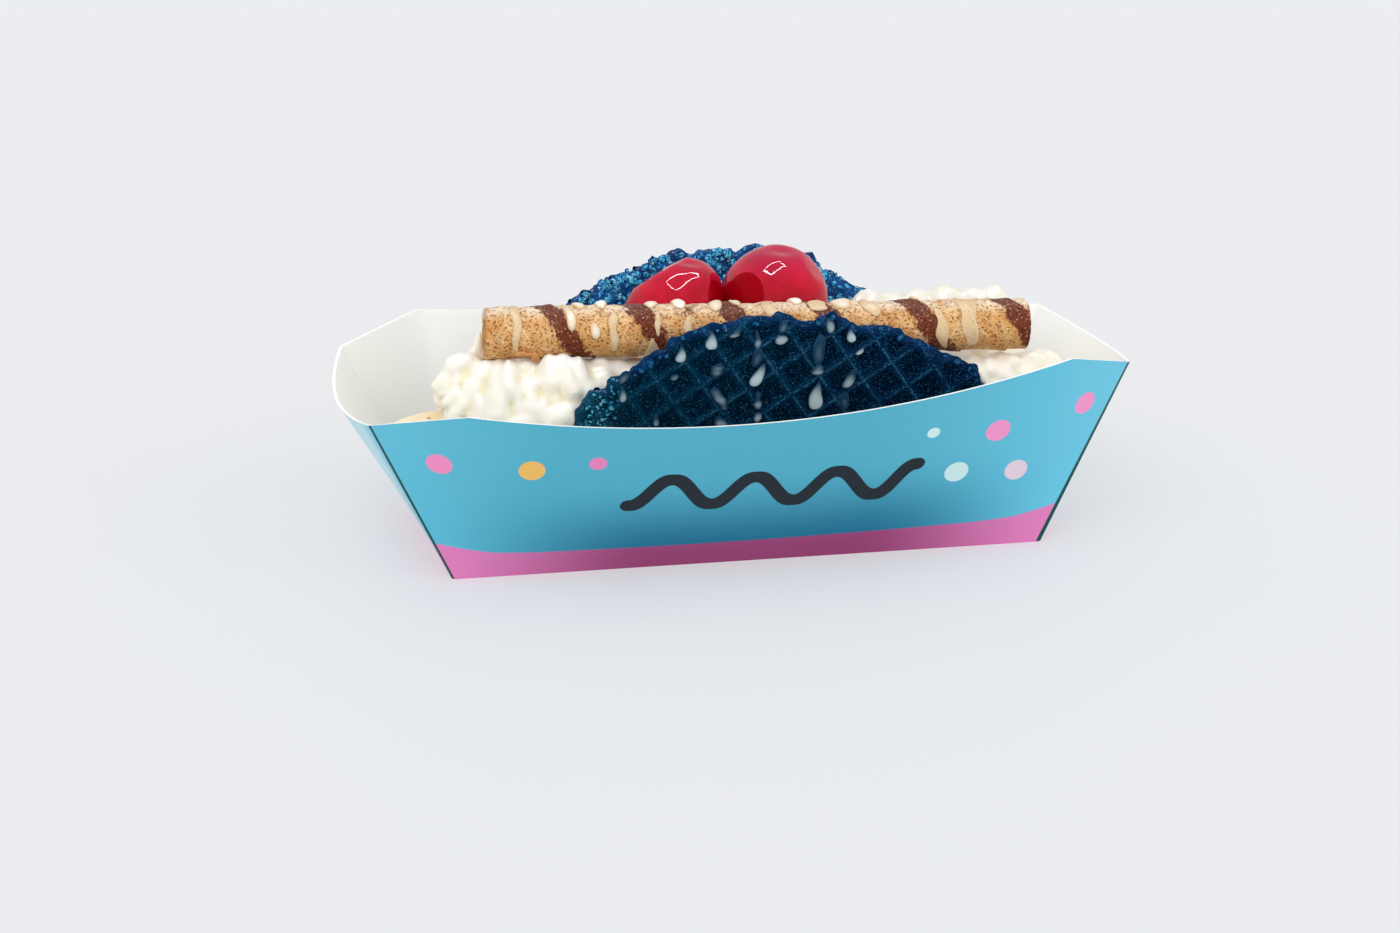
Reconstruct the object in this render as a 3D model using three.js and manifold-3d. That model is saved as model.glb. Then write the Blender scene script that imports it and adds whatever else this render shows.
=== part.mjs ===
import * as THREE from 'three';
import { mergeVertices } from 'three/addons/utils/BufferGeometryUtils.js';
import Module from 'manifold-3d';

// A waffle taco in a paperboard tray: a folded waffle disc filled with whipped cream,
// half a banana, a rolled wafer and two cherries. Millimetres, +Z up, +X along the tray,
// origin at the middle of the underside of the tray. The viewer looks from the -Y side.

const wasm = await Module();
wasm.setup();

// Tray: a flat base, four flared walls, a tall point near each end of the long rims.
const baseHalfLength = 72;
const baseHalfWidth = 30;
const boardThickness = 0.8;
const peakShare = 0.86;
const endBulge = 4.5;
const cornerSteps = 4;
const rimSteps = 20;
const endSteps = 8;
const nearRim = {
  cornerStart: [-91, -36, 41],
  peakStart: [-70, -52, 45],
  middle: [1.6, -55, 41.6],
  peakEnd: [73.2, -46, 50],
  cornerEnd: [93, -30, 44],
  endDip: 1.2,
};
const farRim = {
  cornerStart: [91, 37, 42],
  peakStart: [70, 50, 43],
  middle: [0, 55, 41.6],
  peakEnd: [-70, 52, 45],
  cornerEnd: [-91, 35, 40.7],
  endDip: 3,
};

// Waffle shell: one disc folded into a U, its leaves leaning apart.
const shell = {
  centreX: 5,
  halfLength: 65.5,
  halfWidth: 70.5,
  foldRadius: 16,
  thickness: 2.8,
  nearLean: 0.25,
  farLean: 0.36,
  farExtra: 2.2,
  turn: 0.045,
  lowest: 1.2,
};
const waffleCell = 8;
const waffleAngle = -34.5 * Math.PI / 180;
const wafflePhase = [6.96, 4.6];
const waffleDepth = 0.7;
// The rim wavers in small scallops, with larger bumps and dents: degrees round from +X, height, width.
const scallop = { height: 0.5, count: 23 };
const nearBumps = [
  [45, 5, 14], [64, 1, 5], [82, -2.4, 3], [107, 0.9, 7], [119, -1, 4], [134, 1, 4],
];
const farBumps = [
  [56, 2.4, 14], [68, 1.6, 4], [81, 1.8, 3], [85.5, -1.6, 2], [100, 0.9, 5], [122, 2.2, 5],
];
// Icing drips on the near leaf: place along the fold, place up the leaf, width and length.
const leafDrips = [
  [-22.6, 59.9, 2.4, 3.8], [-15.4, 63.1, 2.6, 5], [-12.4, 47, 2.6, 6], [-4.2, 62.3, 2.4, 5],
  [-3.2, 53, 3.2, 5.4], [-2.7, 44.6, 2.4, 5.4], [1.5, 62.1, 3, 2.8], [11.4, 56, 2.6, 5.2],
  [11.5, 46.1, 3.6, 6.6], [13.3, 65, 2.2, 3.6], [18.8, 62, 2.2, 3.2], [19.6, 50.3, 2.6, 5],
  [-36.2, 50.6, 2, 4], [-27.6, 42.4, 1.8, 3.4],
];

// Rolled wafer: a straight tube with a spiral seam.
const stick = {
  from: [-59.8, -8.2, 53.5],
  to: [71.9, -14.3, 50.7],
  radius: 6.2,
  bore: 3.6,
  recess: 5,
  pitch: 22,
};
// Icing drips on the wafer: place along it, angle round from straight up towards the viewer, width, length.
const stickDrips = [
  [7, 50, 2.4, 7], [19.5, 62, 2.6, 4], [26, 80, 3.2, 4], [30.5, 45, 2.2, 7], [40, 50, 2.4, 4.4],
  [38.5, 88, 3, 4], [48, 60, 2.4, 3.6], [92, 32, 3, 3.4], [110, 84, 2.6, 3.6], [117.5, 50, 4.4, 4],
];

const cherries = [
  { name: 'cherry_left', centre: [-10.4, 7.5, 54.5], radius: 11.2, slope: 0.10 },
  { name: 'cherry_right', centre: [14.3, 7.9, 54.6], radius: 13, slope: 0.03 },
];

// Banana half: points down its middle, each with a radius.
const bananaSpine = [
  [-86, -5, 28.8, 1.2], [-84.4, -5, 28.8, 3.2], [-80, -4.6, 28, 5.4], [-74, -3.9, 26.4, 7.5],
  [-66, -3, 23.6, 9.1], [-57, -2, 20.6, 10.2], [-47, -1, 18.4, 11], [-36, -0.4, 17.6, 11.2],
];

// Whipped cream: a long core in the fold and ridged dollops, each a place, radius, height, ridge turn.
const creamCore = { centre: [8, 1, 26], half: [62, 24, 19] };
const dollops = [
  [-57, -4, 35, 13, 13, 0.2], [-66, -2, 38, 6.5, 6, 0.9], [-61, 0, 44, 5, 7, 0.5], [-63, 3, 34, 8, 9, 0.1],
  [-49, -11, 33, 11, 14, 0.5], [-48, 8, 35, 13, 14, 0.1], [-38, -13, 32, 9, 14, 0.7],
  [-33, 8, 37, 13, 13, 0.4], [-25, -10, 35, 10, 11, 0.3], [-6, -6, 36, 12, 10, 0.8],
  [-20, 13, 39, 12, 9, 0.6], [7, 17, 37, 15, 12, 0.5], [15, -8, 36, 12, 9, 0.1], [31, 12, 38, 12, 15, 0.6],
  [36, -9, 34, 11, 11, 0.2], [45, 14, 39, 13, 16, 0.3], [54, -8, 32, 12, 13, 0.9], [58, 1, 38, 11, 9, 0.4],
  [60, 14, 38, 13, 17, 0.1], [68, -4, 30, 12, 13, 0.5], [73, 11, 37, 11, 15, 0.7],
];
const creamGap = 0.4;

const mix = (a, b, t) => a + (b - a) * t;
const mixPoint = (a, b, t) => a.map((value, k) => mix(value, b[k], t));

// Closed solids: corners at one place become one, and faces turn outwards.
function toSolid(geometry) {
  const bare = geometry.clone();
  bare.deleteAttribute('normal');
  bare.deleteAttribute('uv');
  const merged = mergeVertices(bare, 1e-4);
  const place = merged.attributes.position;
  const faces = [];
  let volume = 0;
  const [a, b, c] = [new THREE.Vector3(), new THREE.Vector3(), new THREE.Vector3()];
  for (let k = 0; k < merged.index.count; k += 3) {
    const face = [merged.index.getX(k), merged.index.getX(k + 1), merged.index.getX(k + 2)];
    if (face[0] === face[1] || face[1] === face[2] || face[2] === face[0]) continue;
    faces.push(face);
    a.fromBufferAttribute(place, face[0]);
    b.fromBufferAttribute(place, face[1]);
    c.fromBufferAttribute(place, face[2]);
    volume += a.dot(b.cross(c));
  }
  const outward = volume > 0 ? faces : faces.map(([p, q, r]) => [p, r, q]);
  const vertProperties = new Float32Array(place.array);
  const triVerts = new Uint32Array(outward.flat());
  return new wasm.Manifold(new wasm.Mesh({ numProp: 3, vertProperties, triVerts }));
}

function toGeometry(solid) {
  const mesh = solid.getMesh();
  const geometry = new THREE.BufferGeometry();
  geometry.setAttribute('position', new THREE.BufferAttribute(new Float32Array(mesh.vertProperties), 3));
  geometry.setIndex(new THREE.BufferAttribute(new Uint32Array(mesh.triVerts), 1));
  geometry.computeVertexNormals();
  return geometry;
}

// Moves every corner of a geometry to the place that a function gives for it.
function reshape(geometry, move) {
  const place = geometry.attributes.position;
  for (let k = 0; k < place.count; k += 1) {
    const moved = move(place.getX(k), place.getY(k), place.getZ(k), k);
    place.setXYZ(k, ...moved);
  }
  return geometry;
}

// One long side of the tray: pairs of a base point and a rim point.
function sideStations(rim) {
  const direction = Math.sign(rim.cornerEnd[0] - rim.cornerStart[0]);
  const baseY = Math.sign(rim.middle[1]) * baseHalfWidth;
  const steps = [];
  for (let k = 0; k < cornerSteps; k += 1) steps.push(mix(-1, -peakShare, k / cornerSteps));
  for (let k = 0; k < rimSteps; k += 1) steps.push(mix(-peakShare, peakShare, k / rimSteps));
  for (let k = 0; k < cornerSteps; k += 1) steps.push(mix(peakShare, 1, k / cornerSteps));
  return steps.map((step) => {
    const base = [direction * baseHalfLength * step, baseY, 0];
    if (step < -peakShare) {
      return [base, mixPoint(rim.cornerStart, rim.peakStart, (step + 1) / (1 - peakShare))];
    }
    if (step > peakShare) {
      return [base, mixPoint(rim.peakEnd, rim.cornerEnd, (step - peakShare) / (1 - peakShare))];
    }
    const share = step / peakShare;
    const bend = rim.middle.map((middle, k) => {
      const slope = (rim.peakEnd[k] - rim.peakStart[k]) / 2;
      const rise = (rim.peakEnd[k] + rim.peakStart[k]) / 2 - middle;
      return middle + slope * share + rise * share * share;
    });
    return [base, bend];
  });
}

// One short end of the tray, bulging outwards, lower in its middle.
function endStations(from, to, dip) {
  const outwards = Math.sign(from[0]);
  const stations = [];
  for (let k = 0; k < endSteps; k += 1) {
    const share = k / endSteps;
    const arch = 4 * share * (1 - share);
    const rim = mixPoint(from, to, share);
    const baseY = mix(Math.sign(from[1]), Math.sign(to[1]), share) * baseHalfWidth;
    const bulged = [rim[0] + outwards * endBulge * arch, rim[1], rim[2] - dip * arch];
    stations.push([[outwards * baseHalfLength, baseY, 0], bulged]);
  }
  return stations;
}

// Moves a closed ring of points inwards, seen from above, keeping each height.
function insetRing(ring, distance) {
  const count = ring.length;
  return ring.map((point, k) => {
    const before = ring[(k + count - 1) % count];
    const after = ring[(k + 1) % count];
    const first = new THREE.Vector2(before[1] - point[1], point[0] - before[0]).normalize();
    const second = new THREE.Vector2(point[1] - after[1], after[0] - point[0]).normalize();
    const move = first.clone().add(second).multiplyScalar(distance / (1 + first.dot(second)));
    return [point[0] + move.x, point[1] + move.y, point[2]];
  });
}

function buildTray() {
  const stations = [
    ...sideStations(nearRim),
    ...endStations(nearRim.cornerEnd, farRim.cornerStart, nearRim.endDip),
    ...sideStations(farRim),
    ...endStations(farRim.cornerEnd, nearRim.cornerStart, farRim.endDip),
  ];
  const base = stations.map((station) => station[0]);
  const rim = stations.map((station) => station[1]);
  const floor = insetRing(base, boardThickness * 0.7).map(([x, y]) => [x, y, boardThickness]);
  const rows = [base, rim, insetRing(rim, boardThickness * 1.1), floor];
  const section = [[0, 0], [1, 0], [2, 1], [1.9, 1], [0.9, 0.1], [0, 0.1]];
  const profile = section.map((point) => new THREE.Vector2(...point));
  const lathe = new THREE.LatheGeometry(profile, stations.length);
  return reshape(lathe, (x, y, z, k) => {
    const row = k % profile.length;
    const station = Math.floor(k / profile.length) % stations.length;
    if (row === 0) return [0, 0, 0];
    if (row === profile.length - 1) return [0, 0, boardThickness];
    return rows[row - 1][station];
  });
}

// Bends the flat disc: along the fold, across it (near side negative) and inwards from the outer face.
function fold(along, across, inwards) {
  const side = across < 0 ? -1 : 1;
  const lean = across < 0 ? shell.nearLean : shell.farLean;
  const full = Math.PI / 2 - lean;
  const radius = shell.foldRadius;
  const angle = Math.min(Math.abs(across) / radius, full);
  const straight = Math.max(Math.abs(across) - full * radius, 0);
  const reach = radius - inwards;
  const y = side * (reach * Math.sin(angle) + straight * Math.cos(angle));
  const z = radius - reach * Math.cos(angle) + straight * Math.sin(angle);
  const [c, s] = [Math.cos(shell.turn), Math.sin(shell.turn)];
  return [shell.centreX + along * c - y * s, along * s + y * c, shell.lowest + z];
}

// How far the rim of a leaf stands out from an even disc.
function rimOut(bumps, angle) {
  const waver = scallop.height * Math.sin(THREE.MathUtils.degToRad(angle) * scallop.count);
  const bump = ([at, height, width]) => height * Math.exp(-(((angle - at) / width) ** 2));
  return bumps.reduce((out, entry) => out + bump(entry), waver);
}

function discShape(extra) {
  const points = [];
  for (let degrees = 0; degrees < 360; degrees += 3) {
    const near = degrees > 180;
    const out = rimOut(near ? nearBumps : farBumps, near ? 360 - degrees : degrees) + extra;
    const turn = THREE.MathUtils.degToRad(degrees);
    const across = shell.halfWidth * Math.sin(turn) + shell.farExtra * Math.abs(Math.sin(turn));
    const along = shell.halfLength * Math.cos(turn);
    points.push(new THREE.Vector2(along + out * Math.cos(turn), across + out * Math.sin(turn)));
  }
  return new THREE.Shape(points);
}

function buildShell() {
  const cells = 22;
  const side = cells * waffleCell;
  const plate = new THREE.BoxGeometry(side, side, shell.thickness, cells * 2, cells * 2, 1);
  const half = waffleCell / 2;
  reshape(plate, (x, y, z) => {
    const column = Math.round((x + side / 2) / half);
    const row = Math.round((y + side / 2) / half);
    const sunk = column % 2 === 1 && row % 2 === 1 ? waffleDepth : 0;
    return [x + wafflePhase[0], y + wafflePhase[1], (z > 0 ? z - sunk : z + sunk) + shell.thickness / 2];
  });
  plate.rotateZ(waffleAngle);
  const disc = new THREE.ExtrudeGeometry(discShape(0), { depth: 6, bevelEnabled: false });
  const flat = toGeometry(toSolid(plate).intersect(toSolid(disc.translate(0, 0, -1))));
  let solid = toSolid(reshape(flat, fold));
  for (const [along, up, width, length] of leafDrips) {
    const drip = new THREE.SphereGeometry(1, 6, 4).scale(width / 2, length / 2, 0.9);
    drip.translate(along, -up, 0.1);
    solid = solid.add(toSolid(reshape(drip, fold)));
  }
  return solid;
}

// The room of the shell and everything outside it, which the filling stays clear of.
function shellRoom() {
  const [side, beyond, discDepth] = [170, 14, 40];
  const depth = shell.thickness + creamGap + beyond;
  const slab = new THREE.BoxGeometry(side, side, depth, 1, 34, 1).translate(0, 0, depth / 2 - beyond);
  const disc = new THREE.ExtrudeGeometry(discShape(creamGap), { depth: discDepth, bevelEnabled: false });
  const flat = toGeometry(toSolid(slab).intersect(toSolid(disc.translate(0, 0, -discDepth / 2))));
  return toSolid(reshape(flat, fold));
}

// A frame with its z axis along the wafer and its x axis up.
function stickFrame() {
  const from = new THREE.Vector3(...stick.from);
  const axis = new THREE.Vector3(...stick.to).sub(from);
  const length = axis.length();
  axis.normalize();
  const towards = new THREE.Vector3().crossVectors(new THREE.Vector3(0, 0, 1), axis).negate().normalize();
  const up = new THREE.Vector3().crossVectors(towards, axis).normalize();
  const frame = new THREE.Matrix4().makeBasis(up, towards, axis).setPosition(from);
  return { frame, length };
}

function buildStick() {
  const { frame, length } = stickFrame();
  const rows = 20;
  const profile = [new THREE.Vector2(0, stick.recess), new THREE.Vector2(stick.bore, stick.recess)];
  profile.push(new THREE.Vector2(stick.bore, 0));
  for (let k = 0; k <= rows; k += 1) profile.push(new THREE.Vector2(stick.radius, length * k / rows));
  profile.push(new THREE.Vector2(stick.bore, length));
  profile.push(new THREE.Vector2(stick.bore, length - stick.recess));
  profile.push(new THREE.Vector2(0, length - stick.recess));
  const lathe = new THREE.LatheGeometry(profile, 16).rotateX(Math.PI / 2);
  reshape(lathe, (x, y, z) => {
    const radius = Math.hypot(x, y);
    if (radius < stick.bore + 0.1) return [x, y, z];
    const grown = 1 + 0.03 * Math.sin(Math.atan2(y, x) + 2 * Math.PI * z / stick.pitch);
    return [x * grown, y * grown, z];
  });
  let solid = toSolid(lathe);
  for (const [along, degrees, width, reach] of stickDrips) {
    const angle = THREE.MathUtils.degToRad(degrees);
    const drip = new THREE.SphereGeometry(1, 6, 4).scale(0.9, reach / 2, width / 2);
    drip.translate(stick.radius, 0, along).rotateZ(angle);
    solid = solid.add(toSolid(drip));
  }
  return toGeometry(solid).applyMatrix4(frame);
}

function stickRoom() {
  const { frame, length } = stickFrame();
  const tube = new THREE.CylinderGeometry(stick.radius + 1, stick.radius + 1, length + 1, 20);
  tube.rotateX(Math.PI / 2).translate(0, 0, length / 2).applyMatrix4(frame);
  return toSolid(tube);
}

function cherryGeometry({ centre, radius, slope }, grow) {
  const ball = new THREE.SphereGeometry(radius, 18, 12).rotateX(Math.PI / 2);
  return reshape(ball, (x, y, z) => {
    const [p, q, r] = [x / radius, y / radius, z / radius];
    const dent = 0.10 * Math.exp(-14 * ((p - 0.1) ** 2 + (q + 0.15) ** 2)) * (r > 0 ? 1 : 0);
    const uneven = 0.02 * Math.sin(3 * p + 1) * Math.cos(2.6 * q);
    const size = 1 - dent + uneven + 2 * slope * Math.min(p, 0) * Math.max(r, 0) + grow / radius;
    return [centre[0] + x * size, centre[1] + y * size, centre[2] + z * size * 0.95];
  });
}

function bananaGeometry(grow) {
  const rows = bananaSpine.length;
  const profile = [new THREE.Vector2(0, 0)];
  for (let k = 0; k < rows; k += 1) profile.push(new THREE.Vector2(1, k + 1));
  profile.push(new THREE.Vector2(0, rows + 1));
  const lathe = new THREE.LatheGeometry(profile, 14);
  return reshape(lathe, (x, y, z, k) => {
    const row = k % profile.length;
    const place = bananaSpine[THREE.MathUtils.clamp(row - 1, 0, rows - 1)];
    const tip = row === 0 ? -0.8 - grow : 0;
    const cutEnd = row >= rows ? grow : 0;
    const angle = Math.atan2(z, x);
    const onAxis = Math.hypot(x, z) < 0.5 ? 0 : 1;
    const size = (place[3] * (1 + 0.03 * Math.cos(5 * angle)) + grow) * onAxis;
    return [place[0] + tip + cutEnd, place[1] + size * Math.cos(angle), place[2] + size * Math.sin(angle)];
  });
}

// A dollop from a star nozzle: six ridges that turn as they rise to a soft point.
function dollopSolid([x, y, z, radius, height, turn]) {
  const profile = [[0, -0.95], [0.7, -0.75], [1, -0.1], [0.84, 0.5], [0.46, 0.86], [0, 1]];
  const lathe = new THREE.LatheGeometry(profile.map((p) => new THREE.Vector2(...p)), 18);
  reshape(lathe, (px, py, pz) => {
    const round = Math.hypot(px, pz);
    const angle = Math.atan2(pz, px);
    const ridge = 1 + 0.12 * Math.cos(6 * (angle + turn + py * 0.5)) * Math.min(round * 2, 1);
    const size = round * radius * ridge;
    return [x + size * Math.cos(angle), y + size * Math.sin(angle), z + py * height];
  });
  return toSolid(lathe);
}

function buildCream() {
  const core = new THREE.SphereGeometry(1, 18, 10).rotateZ(Math.PI / 2);
  core.scale(...creamCore.half).translate(...creamCore.centre);
  let cream = toSolid(core);
  for (const dollop of dollops) cream = cream.add(dollopSolid(dollop));
  cream = cream.subtract(shellRoom()).subtract(stickRoom());
  for (const cherry of cherries) cream = cream.subtract(toSolid(cherryGeometry(cherry, creamGap)));
  return cream.subtract(toSolid(bananaGeometry(creamGap)));
}

const colours = {
  tray: [0x5db8d6, 0.45],
  waffle_shell: [0x10304a, 0.6],
  whipped_cream: [0xfaf8f0, 0.5],
  wafer_stick: [0xdcb07a, 0.75],
  cherry_left: [0xb81430, 0.2],
  cherry_right: [0xb81430, 0.2],
  banana: [0xf0dcae, 0.55],
};

const group = new THREE.Group();
function place(name, geometry) {
  const [color, roughness] = colours[name];
  const mesh = new THREE.Mesh(geometry, new THREE.MeshStandardMaterial({ color, roughness, metalness: 0 }));
  mesh.name = name;
  group.add(mesh);
}

place('tray', toGeometry(toSolid(buildTray())));
place('waffle_shell', toGeometry(buildShell()));
place('whipped_cream', toGeometry(buildCream()));
place('wafer_stick', buildStick());
for (const cherry of cherries) place(cherry.name, toGeometry(toSolid(cherryGeometry(cherry, 0))));
place('banana', toGeometry(toSolid(bananaGeometry(0))));

export default group;
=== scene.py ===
import math

import bmesh
import bpy
import numpy as np
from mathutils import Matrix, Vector, noise


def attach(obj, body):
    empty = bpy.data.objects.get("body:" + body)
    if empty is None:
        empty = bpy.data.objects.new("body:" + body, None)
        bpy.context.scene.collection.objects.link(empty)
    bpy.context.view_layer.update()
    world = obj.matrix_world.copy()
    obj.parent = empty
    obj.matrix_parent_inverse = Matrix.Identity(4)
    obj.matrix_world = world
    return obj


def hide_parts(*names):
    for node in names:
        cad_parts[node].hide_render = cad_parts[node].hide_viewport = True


# A waffle taco in its paperboard tray. Sizes in the dictionaries are millimetres, but the camera's
# place and the studio are in metres. A noise is given as the size of its lumps, their height and a
# seed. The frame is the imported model's: +X along the tray, +Y away from the viewer.
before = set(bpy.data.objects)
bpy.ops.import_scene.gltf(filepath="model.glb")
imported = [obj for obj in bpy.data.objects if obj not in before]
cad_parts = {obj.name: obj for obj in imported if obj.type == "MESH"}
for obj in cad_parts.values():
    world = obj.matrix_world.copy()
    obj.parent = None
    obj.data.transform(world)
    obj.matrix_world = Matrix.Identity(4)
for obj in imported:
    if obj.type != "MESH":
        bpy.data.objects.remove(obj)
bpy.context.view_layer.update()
mm = 0.001
fullTurn = 2 * math.pi


# The camera stands to the left of the tray's middle and looks down a little
view = {
    "place": (-0.15613, -0.73780, 0.24339),
    "down": 0.2947836,  # radians
    "turn": 0.2000488,
    "lens": 82.286,
    "clip": (0.01, 20),
}


def makeCamera():
    camera = bpy.data.objects.new("camera", bpy.data.cameras.new("camera"))
    bpy.context.collection.objects.link(camera)
    camera.location = view["place"]
    camera.rotation_euler = (math.pi / 2 - view["down"], 0, -view["turn"])
    camera.data.lens = view["lens"]
    camera.data.clip_start, camera.data.clip_end = view["clip"]
    bpy.context.scene.camera = camera


makeCamera()
print("camera made")


def tone(red, green, blue):  # from the usual steps of 0 to 255 to the linear values of a shader
    steps = [value / 255 for value in (red, green, blue)]
    linear = [step / 12.92 if step <= 0.04045 else ((step + 0.055) / 1.055) ** 2.4 for step in steps]
    return (*linear, 1)


def mathsNode(operation, reflected=False):  # an operator of Flow, which adds one Math node
    def operator(self, *others):
        values = (*others, self) if reflected else (self, *others)
        return self.finish.add("ShaderNodeMath", {"operation": operation}, dict(enumerate(values)))
    return operator


# A value on its way through a material: the usual operators add its Math nodes
class Flow:
    def __init__(self, finish, socket):
        self.finish = finish
        self.socket = socket

    __add__ = __radd__ = mathsNode("ADD")
    __mul__ = __rmul__ = mathsNode("MULTIPLY")
    __sub__, __rsub__ = mathsNode("SUBTRACT"), mathsNode("SUBTRACT", True)
    __truediv__, __rtruediv__ = mathsNode("DIVIDE"), mathsNode("DIVIDE", True)
    __pow__, __rpow__ = mathsNode("POWER"), mathsNode("POWER", True)
    __lt__, __gt__ = mathsNode("LESS_THAN"), mathsNode("GREATER_THAN")
    __abs__ = mathsNode("ABSOLUTE")
    fract, sine, root = mathsNode("FRACT"), mathsNode("SINE"), mathsNode("SQRT")
    least, most, heading = mathsNode("MINIMUM"), mathsNode("MAXIMUM"), mathsNode("ARCTAN2")

    def fade(self, low, high):  # 0 below low, 1 above high, soft between
        settings = {"interpolation_type": "SMOOTHSTEP"}
        return self.finish.add("ShaderNodeMapRange", settings, {"Value": self, 1: low, 2: high})


class Finish:
    def __init__(self, name, **inputs):
        self.material = bpy.data.materials.new(name)
        self.material.use_nodes = True
        self.tree = self.material.node_tree
        self.shader = self.tree.nodes["Principled BSDF"]
        self.give(inputs)
        coordinates = self.add("ShaderNodeTexCoord", {}, {}, "Object")
        settings = {"operation": "SCALE"}
        self.place = self.add("ShaderNodeVectorMath", settings, {0: coordinates, "Scale": 1 / mm})

    def add(self, kind, settings, sockets, output=0):
        node = self.tree.nodes.new(kind)
        for name, value in settings.items():
            setattr(node, name, value)
        for name, value in sockets.items():
            self.feed(node.inputs[name], value)
        return Flow(self, node.outputs[output])

    def feed(self, socket, value):
        if isinstance(value, Flow):
            self.tree.links.new(value.socket, socket)
        else:
            socket.default_value = value

    def give(self, inputs):  # inputs of the shader, with _ for the spaces in their names
        for name, value in inputs.items():
            self.feed(self.shader.inputs[name.replace("_", " ")], value)

    def vector(self, operation, first, second, output=0):
        return self.add("ShaderNodeVectorMath", {"operation": operation}, {0: first, 1: second}, output)

    def parts(self, vector):
        split = self.add("ShaderNodeSeparateXYZ", {}, {0: vector})
        return [Flow(self, output) for output in split.socket.node.outputs]

    def layer(self, name):  # the three values that the mesh holds under this name
        return self.parts(self.add("ShaderNodeAttribute", {"attribute_name": name}, {}, "Vector"))

    def noise(self, size, detail=3, vector=None):  # size: how far apart its lumps lie
        sockets = {"Vector": vector or self.place, "Scale": 1 / size, "Detail": detail}
        return self.add("ShaderNodeTexNoise", {}, sockets)

    def cells(self, size, vector=None):  # distance to the nearest of many scattered points
        return self.add("ShaderNodeTexVoronoi", {}, {"Vector": vector or self.place, "Scale": 1 / size})

    def spots(self, size, low, high, vector=None):  # 1 at many scattered points, 0 away from them
        return 1 - self.cells(size, vector).fade(low, high)

    def blend(self, factor, first, second):
        return self.add("ShaderNodeMix", {"data_type": "RGBA"}, {0: factor, 6: first, 7: second}, 2)

    def over(self, colour, *layers):  # each layer is a mask and the colour that it brings
        for mask, top in layers:
            colour = self.blend(mask, colour, top)
        return colour

    def surface(self, colour, roughness, height, **inputs):  # height in millimetres
        bump = self.add("ShaderNodeBump", {}, {"Height": height, "Distance": mm})
        self.give({"Base_Color": colour, "Roughness": roughness, "Normal": bump, **inputs})
        return self.material


def around(count):  # angles all the way round
    return np.linspace(0, fullTurn, count, endpoint=False)


def between(first, second, share):
    return np.asarray(first, float) + (np.asarray(second, float) - np.asarray(first, float)) * share


def noiseAt(points, size, height, seed):
    shift = Vector((seed * 17.3, seed * 5.1, -seed * 9.7))
    values = [noise.noise(Vector(point) / size + shift) for point in points.reshape(-1, 3).tolist()]
    return np.reshape(values, points.shape[:-1]) * height


def gridFaces(rows, columns, closed=False):  # closed where the columns go all the way round
    row, column = np.meshgrid(np.arange(rows - 1), np.arange(columns - (not closed)), indexing="ij")
    corners = [(row, column), (row, column + 1), (row + 1, column + 1), (row + 1, column)]
    return np.stack([r * columns + c % columns for r, c in corners], -1).reshape(-1, 4)


def tubeFaces(rows, columns):  # a closed tube, with one face over each end
    ends = [list(range(start, start + columns)) for start in (0, (rows - 1) * columns)]
    return gridFaces(rows, columns, True).tolist() + ends


def joined(parts):  # several (points, faces) as one
    points, faces, start = [], [], 0
    for partPoints, partFaces in parts:
        points.append(partPoints)
        faces.extend([[corner + start for corner in face] for face in partFaces])
        start += len(partPoints)
    return np.concatenate(points), faces


def addLayer(mesh, name, columns, domain="POINT"):  # up to three values each, for the material to read
    values = np.zeros((len(columns[0]), 3))
    values[:, :len(columns)] = np.stack(columns, 1)
    mesh.attributes.new(name, "FLOAT_VECTOR", domain).data.foreach_set("vector", values.ravel())


def newMesh(name, points, faces, **layers):
    mesh = bpy.data.meshes.new(name)
    mesh.from_pydata((np.asarray(points) * mm).tolist(), [], faces)
    for layer, columns in layers.items():
        addLayer(mesh, layer, columns)
    mesh.shade_smooth()
    return mesh


def closeMesh(mesh):  # drops loose points, joins those that meet and turns the faces outwards
    work = bmesh.new()
    work.from_mesh(mesh)
    bmesh.ops.delete(work, geom=[vert for vert in work.verts if not vert.link_faces], context="VERTS")
    bmesh.ops.remove_doubles(work, verts=work.verts, dist=0.001 * mm)
    bmesh.ops.recalc_face_normals(work, faces=work.faces)
    work.to_mesh(mesh)
    work.free()
    return mesh


def addPiece(mesh, materials, slot, *nodes):
    piece = bpy.data.objects.new(mesh.name, mesh)
    bpy.context.collection.objects.link(piece)
    for material in materials:
        mesh.materials.append(material)
    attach(piece, "root")
    if nodes:
        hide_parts(*nodes)


# The studio: a pale floor that runs out of sight, even light, and a frame of thin lamps that
# shows in glossy surfaces only
studio = {
    "floorHalf": 4.0,
    "floorTone": tone(162, 164, 167),
    "floorGlow": 0.43,
    "skyTone": tone(250, 251, 253),
    "skyStrength": 0.78,
    "suns": [
        # name, direction towards it, strength, softness in degrees
        ("key", (-0.45, -0.55, 0.8), 0.9, 50),
        ("front", (-0.1, -1.0, 0.05), 0.72, 60),
        ("side", (0.8, -0.5, 0.4), 0.44, 50),
    ],
    "glint": {
        "place": (0.035, -0.03, 0.9), "sides": (0.50, 0.30), "width": 0.022, "turn": 0.5, "power": 2.0,
    },
}


def makeFloor():
    half = studio["floorHalf"] / mm
    corners = [(-half, -half, 0), (half, -half, 0), (half, half, 0), (-half, half, 0)]
    mesh = newMesh("floor", corners, [(0, 1, 2, 3)])
    floor = bpy.data.objects.new("floor", mesh)
    bpy.context.collection.objects.link(floor)
    glow = {"Emission_Color": (1, 1, 1, 1), "Emission_Strength": studio["floorGlow"]}
    finish = Finish("floor", Specular_IOR_Level=0.2, **glow)
    mesh.materials.append(finish.surface(studio["floorTone"], 0.6, finish.noise(40) * 0.02))


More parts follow.
